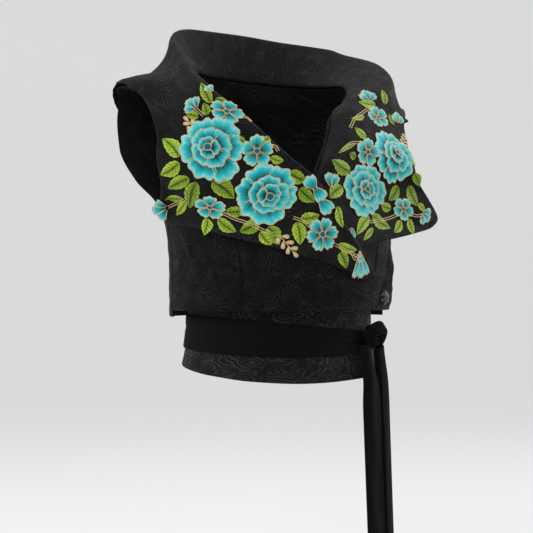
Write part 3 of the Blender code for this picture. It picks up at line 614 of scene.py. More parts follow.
def add_places(made, uv):
    """Give each point its place on the cloth, in centimetres, as the mesh's UV map."""
    mesh = made.data
    layer = mesh.uv_layers.new(name="cloth")
    corners = np.empty(len(mesh.loops), np.int32)
    mesh.loops.foreach_get("vertex_index", corners)
    layer.data.foreach_set("uv", (uv[corners] * 0.1).astype(np.float32).ravel())


def add_values(made, name, values):
    """Give each point a number that the material reads."""
    layer = made.data.attributes.new(name, "FLOAT", "POINT")
    layer.data.foreach_set("value", np.asarray(values, np.float32).ravel())


def numbered(rows, columns, ring=False):
    """Numbers of a grid's points, row by row. A ring repeats its first column at its end."""
    number = np.arange(rows * columns).reshape(rows, columns)
    return np.hstack([number, number[:, :1]]) if ring else number


def grid_faces(number, turned=False):
    """Faces between neighbouring rows and columns, or the same ones facing the other way."""
    corners = [number[:-1, :-1], number[1:, :-1], number[1:, 1:], number[:-1, 1:]]
    if turned:
        corners = corners[:1] + corners[:0:-1]
    return np.stack(corners, -1).reshape(-1, 4)


def strip(chain, shift):
    """Faces between a chain of points and the same chain on the other side of the wall."""
    return np.stack([chain[1:], chain[:-1], chain[:-1] + shift, chain[1:] + shift], -1)


def shell(name, inner, outer, uv, surface, ring=False):
    """A closed wall between two grids of points. A ring joins its last row to its first."""
    rows, columns = outer.shape[:2]
    shift = rows * columns
    number = numbered(rows, columns)
    if ring:
        number = np.vstack([number, number[:1]])
    under = grid_faces(number)
    faces = [under, under[:, ::-1] + shift, strip(number[:, 0], shift), strip(number[::-1, -1], shift)]
    if not ring:
        faces += [strip(number[0, ::-1], shift), strip(number[-1], shift)]
    faces = np.concatenate(faces)
    points = np.concatenate([inner.reshape(-1, 3), outer.reshape(-1, 3)])
    a, b, c = points[faces[:, 0]], points[faces[:, 1]], points[faces[:, 2]]
    d = points[faces[:, 3]]
    volume = np.sum(a * (np.cross(b, c) + np.cross(c, d)))
    if volume < 0.0:
        faces = faces[:, ::-1]
    made = new_mesh(name, points, faces, surface)
    places = uv.reshape(-1, 2)
    add_places(made, np.concatenate([places, places]))
    return made


def node(tree, kind, **inputs):
    """Add a shader node and set its sockets or settings by name."""
    made = tree.nodes.new(kind)
    for key, value in inputs.items():
        if key in made.inputs:
            made.inputs[key].default_value = value
        else:
            setattr(made, key, value)
    return made


def new_material(name):
    """A material with its node tree and its main shader."""
    made = bpy.data.materials.new(name)
    made.use_nodes = True
    return made, made.node_tree, made.node_tree.nodes["Principled BSDF"]


def ramp(tree, source, stops):
    """A colour ramp from a number."""
    made = node(tree, "ShaderNodeValToRGB")
    elements = made.color_ramp.elements
    while len(elements) < len(stops):
        elements.new(0.5)
    for element, (place, colour) in zip(elements, stops):
        element.position = place
        element.color = (*colour, 1.0)
    tree.links.new(source, made.inputs["Fac"])
    return made.outputs["Color"]


def cloth_places(tree, scale_u=1.0, scale_v=1.0):
    """The cloth's own places, stretched."""
    places = node(tree, "ShaderNodeUVMap", uv_map="cloth")
    stretch = node(tree, "ShaderNodeMapping")
    stretch.inputs["Scale"].default_value = (scale_u, scale_v, 1.0)
    tree.links.new(places.outputs["UV"], stretch.inputs["Vector"])
    return stretch.outputs["Vector"]


def noise(tree, vector, scale, detail=3.0, roughness=0.55):
    """Cloudy values from 0 to 1."""
    made = node(tree, "ShaderNodeTexNoise", Scale=scale, Detail=detail, Roughness=roughness)
    tree.links.new(vector, made.inputs["Vector"])
    return made.outputs["Fac"]


def stripes(tree, vector, scale, direction):
    """Slightly uneven threads as values from 0 to 1."""
    made = node(tree, "ShaderNodeTexWave", Scale=scale, Distortion=0.6, wave_type="BANDS")
    made.bands_direction = direction
    tree.links.new(vector, made.inputs["Vector"])
    return made.outputs["Fac"]


def combine(tree, operation, a, b=0.5):
    """A sum on two numbers or sockets. MULTIPLY_ADD also adds 0.5, and SINE reads only the first."""
    made = node(tree, "ShaderNodeMath", operation=operation)
    for socket, value in zip(made.inputs, (a, b)):
        if isinstance(value, (int, float)):
            socket.default_value = value
        else:
            tree.links.new(value, socket)
    return made.outputs["Value"]


def bump(tree, shader, height, distance, strength=1.0):
    """Fine relief of a shader's surface from a height."""
    made = node(tree, "ShaderNodeBump", Strength=strength, Distance=distance)
    tree.links.new(height, made.inputs["Height"])
    tree.links.new(made.outputs["Normal"], shader.inputs["Normal"])


def contours(tree, form):
    """Contour lines from 0 to 1 round scattered ovals of the cloth, like wood grain."""
    places = cloth_places(tree, 1.0 / form.wide, 1.0 / form.tall)
    wander = node(tree, "ShaderNodeTexNoise", Scale=1.7, Detail=2.0, Roughness=0.5)
    tree.links.new(places, wander.inputs["Vector"])
    moved = node(tree, "ShaderNodeVectorMath", operation="MULTIPLY_ADD")
    tree.links.new(wander.outputs["Color"], moved.inputs[0])
    moved.inputs[1].default_value = (0.55, 0.4, 0.0)
    tree.links.new(places, moved.inputs[2])
    cells = node(tree, "ShaderNodeTexVoronoi", feature="SMOOTH_F1", Scale=1.0, Smoothness=0.35)
    cells.inputs["Randomness"].default_value = 0.9
    cells.voronoi_dimensions = "2D"
    tree.links.new(moved.outputs["Vector"], cells.inputs["Vector"])
    turns = combine(tree, "MULTIPLY", cells.outputs["Distance"], math.tau * form.lines)
    wave = combine(tree, "SINE", turns)
    patches = noise(tree, cloth_places(tree), 0.45, 2.0)
    strength = ramp(tree, patches, [(0.35, (0.25, 0.25, 0.25)), (0.62, (1.0, 1.0, 1.0))])
    return combine(tree, "MULTIPLY", combine(tree, "MULTIPLY_ADD", wave), strength)


def jacquard_material(form):
    """Black relief jacquard: shiny raised threads on a matte ground."""
    made, tree, shader = new_material(form.name)
    relief = contours(tree, form)
    fine = noise(tree, cloth_places(tree, 1.0, 1.0), 14.0)
    raised = combine(tree, "MULTIPLY", relief, 0.7 * form.contrast)
    tone = combine(tree, "ADD", raised, combine(tree, "MULTIPLY", fine, 0.35))
    greys = [(place, grey * form.tone) for place, grey in JACQUARD_GREYS]
    colour = ramp(tree, tone, [(place, (grey, grey, 1.05 * grey)) for place, grey in greys])
    tree.links.new(colour, shader.inputs["Base Color"])
    rough = ramp(tree, relief, [(0.0, (0.75, 0.75, 0.75)), (1.0, (0.5, 0.5, 0.5))])
    tree.links.new(rough, shader.inputs["Roughness"])
    shader.inputs["Sheen Weight"].default_value = 0.02
    shader.inputs["Sheen Roughness"].default_value = 0.4
    shader.inputs["Specular IOR Level"].default_value = form.gloss
    warp = stripes(tree, cloth_places(tree), 9.0, "X")
    weft = stripes(tree, cloth_places(tree), 7.0, "Y")
    threads = combine(tree, "MULTIPLY", warp, weft)
    weave = combine(tree, "MULTIPLY", combine(tree, "ADD", threads, fine), 0.25)
    height = combine(tree, "ADD", combine(tree, "MULTIPLY", relief, form.contrast), weave)
    bump(tree, shader, height, 0.0009, 0.6)
    return made


def crepe_material():
    """Matte black crepe with its pebbled surface."""
    made, tree, shader = new_material("black_crepe")
    pebble = noise(tree, cloth_places(tree, 1.0, 1.6), 16.0, 4.0, 0.6)
    broad = noise(tree, cloth_places(tree), 0.9, 2.0)
    small = combine(tree, "MULTIPLY", pebble, 0.5)
    tone = combine(tree, "ADD", small, combine(tree, "MULTIPLY", broad, 0.5))
    colour = ramp(tree, tone, [(0.2, (0.0018, 0.0018, 0.0019)), (0.8, (0.0034, 0.0034, 0.0035))])
    tree.links.new(colour, shader.inputs["Base Color"])
    shader.inputs["Roughness"].default_value = 0.82
    shader.inputs["Sheen Weight"].default_value = 0.008
    shader.inputs["Sheen Roughness"].default_value = 0.6
    shader.inputs["Specular IOR Level"].default_value = 0.05
    bump(tree, shader, pebble, 0.0003, 0.6)
    return made


def stitched_material():
    """Satin stitch in the colours that its points hold, with thread ridges across it."""
    made, tree, shader = new_material("satin_stitch")
    base = node(tree, "ShaderNodeAttribute", attribute_name="thread").outputs["Color"]
    threads = stripes(tree, cloth_places(tree), 6.5, "Y")
    streak = noise(tree, cloth_places(tree, 1.6, 7.5), 1.0, 4.0, 0.75)
    ridges = combine(tree, "MULTIPLY", threads, 0.12)
    shade = combine(tree, "ADD", ridges, combine(tree, "MULTIPLY", streak, 1.5))
    level = combine(tree, "MULTIPLY", shade, 0.62)
    grey = ramp(tree, level, [(0.34, (0.3, 0.3, 0.3)), (0.56, (1.0, 1.0, 1.0))])
    blend = node(tree, "ShaderNodeMix", data_type="RGBA", blend_type="MULTIPLY")
    blend.inputs["Factor"].default_value = 0.8
    tree.links.new(base, blend.inputs["A"])
    tree.links.new(grey, blend.inputs["B"])
    tree.links.new(blend.outputs["Result"], shader.inputs["Base Color"])
    shader.inputs["Roughness"].default_value = 0.45
    shader.inputs["Sheen Weight"].default_value = 0.03
    shader.inputs["Specular IOR Level"].default_value = 0.3
    bump(tree, shader, combine(tree, "ADD", threads, streak), 0.0005, 0.8)
    return made


def gold_material():
    """Pale gold cord, twisted."""
    made, tree, shader = new_material("gold_cord")
    twist = stripes(tree, cloth_places(tree), 7.0, "DIAGONAL")
    colour = ramp(tree, twist, [(0.0, (0.5, 0.32, 0.1)), (1.0, (1.0, 0.82, 0.46))])
    tree.links.new(colour, shader.inputs["Base Color"])
    shader.inputs["Roughness"].default_value = 0.4
    shader.inputs["Metallic"].default_value = 0.1
    bump(tree, shader, twist, 0.0003, 0.7)
    return made


def steel_material():
    """Aged button metal: dark in its hollows, bright and a little rosy on its relief."""
    made, tree, shader = new_material("button_metal")
    relief = node(tree, "ShaderNodeAttribute", attribute_name="relief").outputs["Fac"]
    colour = ramp(tree, relief, METAL_TONES)
    tree.links.new(colour, shader.inputs["Base Color"])
    wear = noise(tree, cloth_places(tree), 9.0)
    rough = ramp(tree, wear, [(0.3, (0.2, 0.2, 0.2)), (0.8, (0.45, 0.45, 0.45))])
    tree.links.new(rough, shader.inputs["Roughness"])
    shader.inputs["Metallic"].default_value = 0.95
    return made


JACQUARD = jacquard_material(BODY_RELIEF)
COLLAR_JACQUARD = jacquard_material(COLLAR_RELIEF)
BELT_JACQUARD = jacquard_material(BELT_RELIEF)
CREPE = crepe_material()
STITCHED = stitched_material()
GOLD = gold_material()
STEEL = steel_material()


def levels(low, high, spacing, *keys):
    """Heights from low to high, close together, with the given ones among them."""
    steps = max(1, round((high - low) / spacing))
    return np.unique(np.concatenate([np.linspace(low, high, steps + 1), keys]))


def corner_lift(turn, height):
    """How far the right front's hem rises at its rounded corner, less and less further up."""
    share = np.clip((CORNER_FROM - turn) / CORNER_OVER, 0.0, 1.0)
    rise = CORNER_RADIUS * (1.0 - np.sqrt(1.0 - 0.98 * share * share))
    return rise * np.maximum(0.0, 1.0 - (height - HEM) / CORNER_FADE)


def seam_gap(height):
    """Half of the gap at a seam, as a turn."""
    return np.degrees(0.5 * SEAM_GAP / half_width(height)) * SIDE_RATIO


def in_armhole(height):
    """Whether the armhole is open at a height."""
    return (height > UNDERARM) & (height < SHOULDER_TIP)


def back_side(height):
    """Turn of the back's edge from the centre front: side seam, armhole and shoulder seam."""
    return np.where(in_armhole(height), arm_back(height), 90.0 + seam_gap(height))


def front_side(height):
    """Turn of a front's outer edge from the centre front."""
    return np.where(in_armhole(height), arm_front(height), 90.0 - seam_gap(height))


def centre_side(height):
    """Turn of a centre front's outer edge: the princess seam, then the armhole."""
    return np.where(height <= PRINCESS_TOP, princess(height) - seam_gap(height), front_side(height))


def side_inner(height):
    """Turn of a side front's inner edge, at the princess seam."""
    return np.minimum(princess(height) + seam_gap(height), front_side(height) - 1.0)


def panel(name, height, start, end, rise, seed, lift=None):
    """A cut piece between two edges that are turns at each height, with the jacquard's relief."""
    first, last = start(height), end(height)
    wide = np.max(np.abs(np.radians(last - first)) * half_width(height))
    share = np.linspace(0.0, 1.0, max(4, round(wide * 0.92 / PANEL_SPACING)) + 1)
    turn = mix(first[:, None], last[:, None], share[None, :])
    level = np.broadcast_to(height[:, None], turn.shape)
    if lift:
        level = level + lift(turn, level)
    base = rise(turn, level)
    middle_face = on_body(turn, level, base)
    across = np.radians(turn) * BODY_RADIUS
    away = rims(lengths(middle_face, 0), lengths(middle_face, 1))
    pucker = PUCKER * ripple(across, level, PUCKER_SIZE, seed + 7)
    out = base + rolled(away, WALL) + pucker * smooth(away / 3.0)
    inner = lean(on_body(turn, level, base + 0.15 * pucker))
    outer = lean(on_body(turn, level, out))
    places = np.stack([across, level], -1)
    made = shell(name, inner, outer, places, JACQUARD)
    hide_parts(name.replace("cloth_", ""))
    return made


def make_back():
    """The back, one panel from side seam to side seam."""
    height = levels(BACK_HEM, 0.0, PANEL_SPACING, UNDERARM, SHOULDER_TIP)
    made = panel(
        "cloth_back",
        height,
        back_side,
        lambda level: 360.0 - back_side(level),
        lambda turn, level: folds(BACK_FOLDS, turn, level),
        11,
    )


def make_right_front():
    """The wearer's right front, which laps over the left one."""

    def rise(turn, level):
        return overlap(turn) + folds(RIGHT_FOLDS, turn, level)

    side = panel(
        "cloth_right_side_front",
        levels(HEM, PRINCESS_TOP, PANEL_SPACING, UNDERARM),
        front_side,
        side_inner,
        rise,
        23,
    )
    centre = panel(
        "cloth_right_centre_front",
        levels(HEM, 0.0, PANEL_SPACING, UNDERARM, SHOULDER_TIP, PRINCESS_TOP),
        centre_side,
        lambda level: np.minimum(right_opening(level) - 1.5, centre_side(level) - 1.0),
        rise,
        31,
        corner_lift,
    )


def make_left_front():
    """The wearer's left front, with the folds that drag from the button."""

    def rise(turn, level):
        return folds(DRAG_FOLDS, turn, level)

    side = panel(
        "cloth_left_side_front",
        levels(HEM, PRINCESS_TOP, PANEL_SPACING, UNDERARM),
        lambda level: 360.0 - front_side(level),
        lambda level: 360.0 - side_inner(level),
        rise,
        47,
    )
    centre = panel(
        "cloth_left_centre_front",
        levels(HEM, 0.0, PANEL_SPACING, UNDERARM, SHOULDER_TIP, PRINCESS_TOP),
        lambda level: 360.0 - centre_side(level),
        lambda level: np.maximum(left_opening(level) + 1.5, 361.0 - centre_side(level)),
        rise,
        59,
    )


def collar_stations():
    """Places of the collar's sections, one spacing apart along its crest or free edge."""
    found = []
    for number, (cut, after) in enumerate(zip(COLLAR, COLLAR[1:])):
        apart = max(math.dist(cut.edge, after.edge), math.dist(cut.crest, after.crest))
        steps = max(2, round(apart / COLLAR_SPACING))
        found += [number + step / steps for step in range(steps)]
    return np.array(found + [len(COLLAR) - 1.0])


def make_collar():
    """The wide shawl collar, and a tree of its shown side that finds where the stitching lies."""
    stations = collar_stations()
    steps = np.concatenate([
        np.linspace(-1.0, -ROLL_SHARE, 15)[:-1],
        np.linspace(-ROLL_SHARE, ROLL_SHARE, 9)[:-1],
        np.linspace(ROLL_SHARE, 1.0, 48),
    ])
    at = np.broadcast_to(stations[:, None], (len(stations), len(steps)))
    along = np.broadcast_to(steps[None, :], at.shape)
    under = collar_under(at, along)
    shoulder = smooth((under[..., 0] - EVEN_FROM_X) / EVEN_OVER)
    shoulder = shoulder * smooth((under[..., 1] - EVEN_FROM_Y) / EVEN_OVER)
    for _ in range(EVENINGS):
        evened = under.copy()
        evened[1:-1] = 0.5 * under[1:-1] + 0.25 * (under[:-2] + under[2:])
        evened[:, 1:-1] = 0.5 * evened[:, 1:-1] + 0.25 * (evened[:, :-2] + evened[:, 2:])
        under = mix(under, evened, shoulder[..., None])
    normal = grid_normals(under)
    travelled = lengths(under, 0)
    around = 0.5 * (travelled[:, len(steps) // 3] + travelled[:, -1])
    around = np.broadcast_to(around[:, None], at.shape)
    down = lengths(under, 1)
    away = rims(travelled, down)
    soft = SWELL * smooth((np.abs(along) - 0.05) / 0.3) * ripple(around, down, SWELL_SIZE, 83)
    out = rolled(away, COLLAR_WALL, 2.4)
    lift = np.maximum(0.0, 0.8 * soft)[..., None] * smooth(away / 20.0)[..., None]
    inner = lean(under)
    outer = lean(under + normal * (out[..., None] + lift))
    places = np.stack([down, around], -1)
    made = shell("cloth_collar", inner, outer, places, COLLAR_JACQUARD)
    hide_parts("collar")
    quads = grid_faces(numbered(*outer.shape[:2]))
    return BVHTree.FromPolygons(outer.reshape(-1, 3).tolist(), quads.tolist())


def on_belt(turn, height, out=0.0):
    """The point out millimetres outside the belt's inner face."""
    angle = np.radians(turn)
    wide = belt_wide(height)
    deep = np.where(np.cos(angle) > 0.0, belt_front(height), belt_back(height))
    across, along = -np.sin(angle), -np.cos(angle)
    flat = np.zeros(np.shape(across / wide))
    normal = unit(np.stack([across / wide, along / deep, flat], -1))
    return np.stack([wide * across, deep * along, height + flat], -1) + normal * np.asarray(out)[..., None]


def belt_turns(spacing):
    """Turns of a ring of points round the waist."""
    steps = round(math.tau * WAIST_RADIUS / spacing)
    return 180.0 - 360.0 * np.arange(steps) / steps


def make_belt():
    """The wide jacquard belt, its top edge tucked under the waistcoat's hem."""
    turns = belt_turns(PANEL_SPACING)
    share = np.linspace(0.0, 1.0, round(BELT_TALL / PANEL_SPACING) + 1)
    turn = np.broadcast_to(turns[:, None], (len(turns), len(share)))
    height = mix(belt_bottom(turn), BELT_TOP, share[None, :])
    across = np.radians(turn) * WAIST_RADIUS
    away = rims(across, height, ring=True)
    out = rolled(away, BELT_WALL)
    inner = on_belt(turn, height)
    outer = on_belt(turn, height, out)
    places = np.stack([across, height], -1)
    made = shell("cloth_belt_band", inner, outer, places, BELT_JACQUARD, ring=True)
    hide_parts("belt_band")


def pinch(turn, share):
    """Height of the sash's creases, which gather at the knot."""
    near = np.exp(-((np.abs(turn - KNOT_TURN) / CREASE_REACH) ** 2))
    return CREASE_DEPTH * near * (0.5 - 0.5 * np.cos(math.tau * 2.5 * share))


def sash_creases(turn, share):
    """Depth of the sash's soft lengthways creases."""
    total = np.zeros(turn.shape)
    for crease in SASH_CREASES:
        along = (turn - crease.low_turn) / (crease.high_turn - crease.low_turn)
        line = mix(crease.low_share, crease.high_share, along)
        fade = smooth(6.0 * along + 0.4) * smooth(3.0 * (1.0 - along))
        inside = (along > -0.1) & (along < 1.0)
        total += inside * crease.depth * fade * np.exp(-((share - line) / crease.width) ** 2)
    return total


def make_sash():
    """The crepe sash, one flat turn round the belt."""
    turns = belt_turns(CREPE_SPACING)
    share = np.linspace(0.0, 1.0, 25)
    turn = np.broadcast_to(turns[:, None], (len(turns), len(share)))
    part = np.broadcast_to(share[None, :], turn.shape)
    height = mix(sash_bottom(turn), sash_top(turn), part)
    across = np.radians(turn) * WAIST_RADIUS
    away = rims(across, height, ring=True)
    base = BELT_WALL + SASH_ROOM
    out = base + rolled(away, SASH_WALL, 2.5, 0.7) + pinch(turn, part) * smooth(away / 3.0)
    out = np.maximum(out - sash_creases(turn, part) * smooth(away / 3.0), base + 0.7)
    inner = on_belt(turn, height, np.full(turn.shape, base))
    outer = on_belt(turn, height, out)
    places = np.stack([across, height], -1)
    made = shell("cloth_sash", inner, outer, places, CREPE, ring=True)
    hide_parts("sash")


def knot_frame():
    """Place of the knot's seat, its outward way and the way along the sash."""
    base = on_belt(KNOT_TURN, KNOT_HEIGHT)
    under = BELT_WALL + SASH_ROOM + SASH_WALL + CREASE_DEPTH
    seat = on_belt(KNOT_TURN, KNOT_HEIGHT, under + KNOT_ROOM)
    outward = unit(seat - base)
    along = unit(np.cross([0.0, 0.0, 1.0], outward))
    return seat, outward, along


# The band of the knot: along the sash, up, and out, from where the sash runs into it
BAND = [
    (-17, -3, 3),
    (-12, 4, 9),
    (-5, 10, 14),
    (4, 12, 17),
    (12, 7, 17),
    (16, -2, 13),
    (16, -10, 8),
    (13, -15, 4),
]
BAND_WIDTH = 19.0
UPWARD = np.array([0.0, 0.0, 1.0])


def make_knot():
    """The sash's knot: a dome of gathered crepe."""
    seat, outward, along = knot_frame()
    rings, sides = 40, 90
    tip = 0.5 * math.pi * np.linspace(0.02, 1.0, rings)[:, None]
    angle = (math.tau * np.arange(sides) / sides)[None, :]
    spread = np.sin(tip) ** 0.8
    x = spread * np.cos(angle)
    y = spread * np.sin(angle)
    gathers = 0.07 * np.cos(np.arctan2(y - 0.2, x + 0.5) * 11.0 + 2.0 * spread)
    form = 1.0 + gathers * np.sin(2.0 * tip) ** 0.5 - 0.06
    points = (
        seat
        + along * (KNOT_WIDTH * 0.5 * x * form)[..., None]
        + UPWARD * (KNOT_TALL * 0.5 * y * form)[..., None]
        + outward * (0.72 * KNOT_DEPTH * np.cos(tip) * form)[..., None]
    )
    faces = grid_faces(numbered(rings, sides, ring=True))
    made = new_mesh("cloth_sash_knot", points.reshape(-1, 3), faces, CREPE)
    add_places(made, 30.0 * np.stack([x, y], -1).reshape(-1, 2))
    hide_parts("sash_knot")


def make_knot_band():
    """The folded band of crepe that is drawn up and over the knot."""
    seat, outward, along = knot_frame()
    fine = np.linspace(0.0, len(BAND) - 1.0, 60)
    row = np.stack([through([place[axis] for place in BAND])(fine) for axis in range(3)], -1)
    path = seat + along * row[:, :1] + UPWARD * row[:, 1:2] + outward * row[:, 2:]
    way = unit(np.gradient(path, axis=0))
    facing = unit(outward + 0.6 * unit(path - seat))
    aside = unit(np.cross(way, facing))
    facing = np.cross(aside, way)
    t = np.linspace(-1.0, 1.0, 25)[None, :]
    share = fine[:, None] / fine[-1]
    pleats = 1.1 * np.cos(t * 7.5 + 2.0 * share) + 0.5 * np.cos(t * 13.0 - 3.0 * share)
    half = 0.5 * BAND_WIDTH * t * mix(0.75, 1.0, np.sin(math.pi * share))
    under = path[:, None] + aside[:, None] * half[..., None]
    under = under + facing[:, None] * (pleats - 4.5 * t * t)[..., None]
    far, across = np.broadcast_arrays(lengths(path, 0)[:, None], 0.5 * BAND_WIDTH * (t + 1.0))
    thick = rolled(rims(far, across), TAIL_WALL, 2.0, 0.7)
    outer = under + facing[:, None] * thick[..., None]
    uv = np.stack([across, far], -1)
    band = shell("cloth_knot_band", under, outer, uv, CREPE)


def under_knot(aside):
    """How far the knot's underside lies above its lowest point, at a place along the sash."""
    share = np.minimum(KNOT_CORNER, np.abs(aside) / (0.5 * KNOT_WIDTH))
    return 0.5 * KNOT_TALL * (1.0 - np.sqrt(1.0 - share * share))


def make_tail(name, tail, seed):
    """A hanging end of the sash, folded lengthways, from under the knot."""
    seat, outward, along = knot_frame()
    start = seat + outward * tail.out + along * tail.aside
    start[2] = KNOT_HEIGHT - 0.5 * KNOT_TALL - GAP
    across = unit(np.array([tail.facing_x, tail.facing_y, 0.0]))
    front = np.cross(across, [0.0, 0.0, 1.0])
    if front @ outward < 0.0:
        front = -front
    share = np.linspace(0.0, 1.0, round(tail.length / CREPE_SPACING) + 1)[:, None]
    place = np.linspace(-0.5, 0.5, TAIL_COLUMNS)[None, :]
    tuck = np.zeros((1, TAIL_COLUMNS))
    if tail.tuck:
        place = np.concatenate([np.full((1, TUCK_COLUMNS), -0.5), place], axis=1)
        tuck = np.concatenate([np.linspace(tail.tuck, 1.2, TUCK_COLUMNS)[None, :], tuck], axis=1)
    away = tail.flare * smooth(share * FLARE_OVER) + tail.drift * share
    wide = tail.width * mix(0.62, 1.0, smooth(share * 4.0))
    wave = tail.fold * np.cos(math.tau * tail.folds * place + 1.5 * share)
    soft = 0.7 * ripple(place * tail.width, share * tail.length * 0.18, 22.0, seed)
    down = share * tail.length
    centre = start + outward * away[..., None] - UPWARD * down[..., None]
    under = centre + across * (wide * place)[..., None] + front * (wave - tuck)[..., None]
    knot_side = (under - seat) @ along
    under[..., 2] += under_knot(knot_side) * (1.0 - smooth(share * 5.0))
    rim = rims(down + 0.0 * place, wide * (place + 0.5) + tail.tuck - tuck)
    thick = rolled(rim, TAIL_WALL, 2.0, 0.7) + np.maximum(soft, -0.6) * smooth(rim / 4.0)
    outer = under + front * thick[..., None]
    uv = np.stack([wide * place - tuck, down + 0.0 * place], -1)
    made = shell("cloth_" + name, under, outer, uv, CREPE)
    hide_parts(name)


def make_button():
    """The dress button, with a rosette of relief on its dome."""
    root = on_body(360.0 + BUTTON_TURN, BUTTON_HEIGHT)
    drag = folds(DRAG_FOLDS, 360.0 + BUTTON_TURN, BUTTON_HEIGHT)
    base = on_body(360.0 + BUTTON_TURN, BUTTON_HEIGHT, WALL + GAP + drag)
    facing = unit(unit(base - root) + np.array([0.0, -BUTTON_NOD, 0.0]))
    side = unit(np.cross(facing, [0.0, 0.0, 1.0]))
    up = np.cross(side, facing)
    start = lean(base) + facing * 0.8
    places = np.linspace(0.0, len(BUTTON_PROFILE) - 1.0, BUTTON_RINGS)
    radius = through([ring.radius for ring in BUTTON_PROFILE])(places)[:, None]
    rise = through([ring.rise for ring in BUTTON_PROFILE])(places)[:, None]
    angle = (math.tau * np.arange(BUTTON_SIDES) / BUTTON_SIDES)[None, :]
    dome = (rise > DOME_RISE) & (radius < DOME_RADIUS)
    petals = np.cos(angle * 6.0 + radius * 0.35) * np.sin(radius * 1.05) ** 2
    scrolls = np.cos(radius * 2.3 - angle * 2.0) * np.cos(angle * 9.0 + radius)
    relief = np.where(dome, 0.55 * petals + 0.45 * scrolls, 0.0)
    on_rope = (radius > ROPE_RADIUS) & (rise > ROPE_RISE)
    rope = np.where(on_rope, 0.25 * np.cos(angle * 40.0), 0.0)
    height = rise + 0.55 * relief + rope
    points = (
        start
        + facing * height[..., None]
        + side * (radius * np.cos(angle))[..., None]
        + up * (radius * np.sin(angle))[..., None]
    )
    faces = grid_faces(numbered(BUTTON_RINGS, BUTTON_SIDES, ring=True), turned=True)
    made = new_mesh("metal_button", points.reshape(-1, 3), faces, STEEL)
    tone = np.where(dome, 0.35 + 0.65 * np.clip(0.5 + 0.7 * relief, 0.0, 1.0), 0.4 + rope)
    tone = np.where(rise < UNDERSIDE_RISE, 0.25, tone)
    add_values(made, "relief", tone)
    uv = np.stack([radius * np.cos(angle), radius * np.sin(angle)], -1)
    add_places(made, uv.reshape(-1, 2))
    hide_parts("button")


COLLAR_TREE = make_collar()
make_back()
make_right_front()
make_left_front()
make_belt()
make_sash()
make_knot()
make_knot_band()
for tail_seed, (tail_name, tail_row) in enumerate(TAILS.items()):
    make_tail(tail_name, tail_row, 120 + tail_seed)
make_button()


# The stitched flowers and leaves. x and z say where a motif's middle shows in the photograph's view,
# in millimetres from the body's axis and the shoulder's neck point. facing turns it clockwise, flat is
# its height as a share of its width, and lean_x and lean_z move the middle of a rose's inner petals.
Rose = namedtuple("Rose", "name x z radius facing flat lean_x lean_z")
ROSES = [
    Rose("rose_1", -88, -89, 40.5, 20, 1.0, -6.0, 2.0),
    Rose("rose_2", -18, -147, 41.0, -25, 0.9, 5.0, -4.0),
    Rose("rose_3", 150, -99, 30.5, 0, 1.24, 4.0, 6.0),
    Rose("rose_4", 112, -141.5, 36, 25, 1.0, 0.0, 0.0),
]
# Rings of a rose's petals from its rim inwards: how many, where they begin and end as shares of the rose's
# radius, the share that the next ring hides, which is painted darkest as shade, half their width and the
# first one's turn
RoseRing = namedtuple("RoseRing", "petals inner outer hidden half lift start")
ROSE_RINGS = [
    RoseRing(6, 0.3, 1.0, 0.3, 35.0, 0.5, 10.0),
    RoseRing(4, 0.18, 0.66, 0.25, 52.0, 1.4, 35.0),
    RoseRing(3, 0.08, 0.38, 0.2, 66.0, 2.4, 60.0),
]

# Smaller flowers: flat is the height of one that is seen from its side, as a share of its width
Flower = namedtuple("Flower", "name x z radius facing petals flat")
FLOWERS = [
    Flower("flower_1", -69, -40, 22.0, 22, 5, 0.58),
    Flower("flower_2", -30, -92, 19.8, 0, 5, 1.0),
    Flower("flower_3", -91, -165, 20.5, 8, 5, 0.7),
    Flower("flower_4", 55, -200, 20.5, 20, 6, 1.0),
    Flower("flower_5", 127, -48, 19.0, -10, 5, 0.8),
    Flower("flower_6", 114, -93, 17.0, 12, 5, 1.05),
    Flower("flower_7", 160, -167, 17.0, 30, 5, 0.8),
]

# Buds and half flowers: fans of petals from a base point, turned clockwise from upwards. spread is how
# far the fan opens and half is half a petal's width, both in degrees.
Bud = namedtuple("Bud", "name x z length facing petals spread half")
BUDS = [
    Bud("bud_1", -108, -37, 17, -50, 3, 84, 25),
    Bud("bud_2", -146, -166, 20, -98, 3, 90, 26),
    Bud("bud_3", 103, -221, 36, 166, 3, 32, 9),
    Bud("bud_4", 116, -27, 17, -4, 3, 100, 28),
    Bud("bud_5", 155, -57, 17, 6, 3, 84, 24),
    Bud("bud_6", 184, -171, 17, 128, 3, 80, 24),
    Bud("bell_top", 103, -219, 18, 164, 2, 16, 10),
    Bud("half_flower_1", 49, -145, 23, -38, 1, 0, 30),
    Bud("half_flower_2", 42, -136, 23, 142, 1, 0, 30),
    Bud("half_flower_3", 47, -149, 28, 140, 1, 0, 27),
    Bud("half_flower_4", 67, -141, 21, 8, 2, 42, 21),
    Bud("half_flower_5", 94, -190, 15, -165, 2, 46, 20),
    Bud("roll_bud", -87, -15, 12, -30, 2, 44, 22),
]

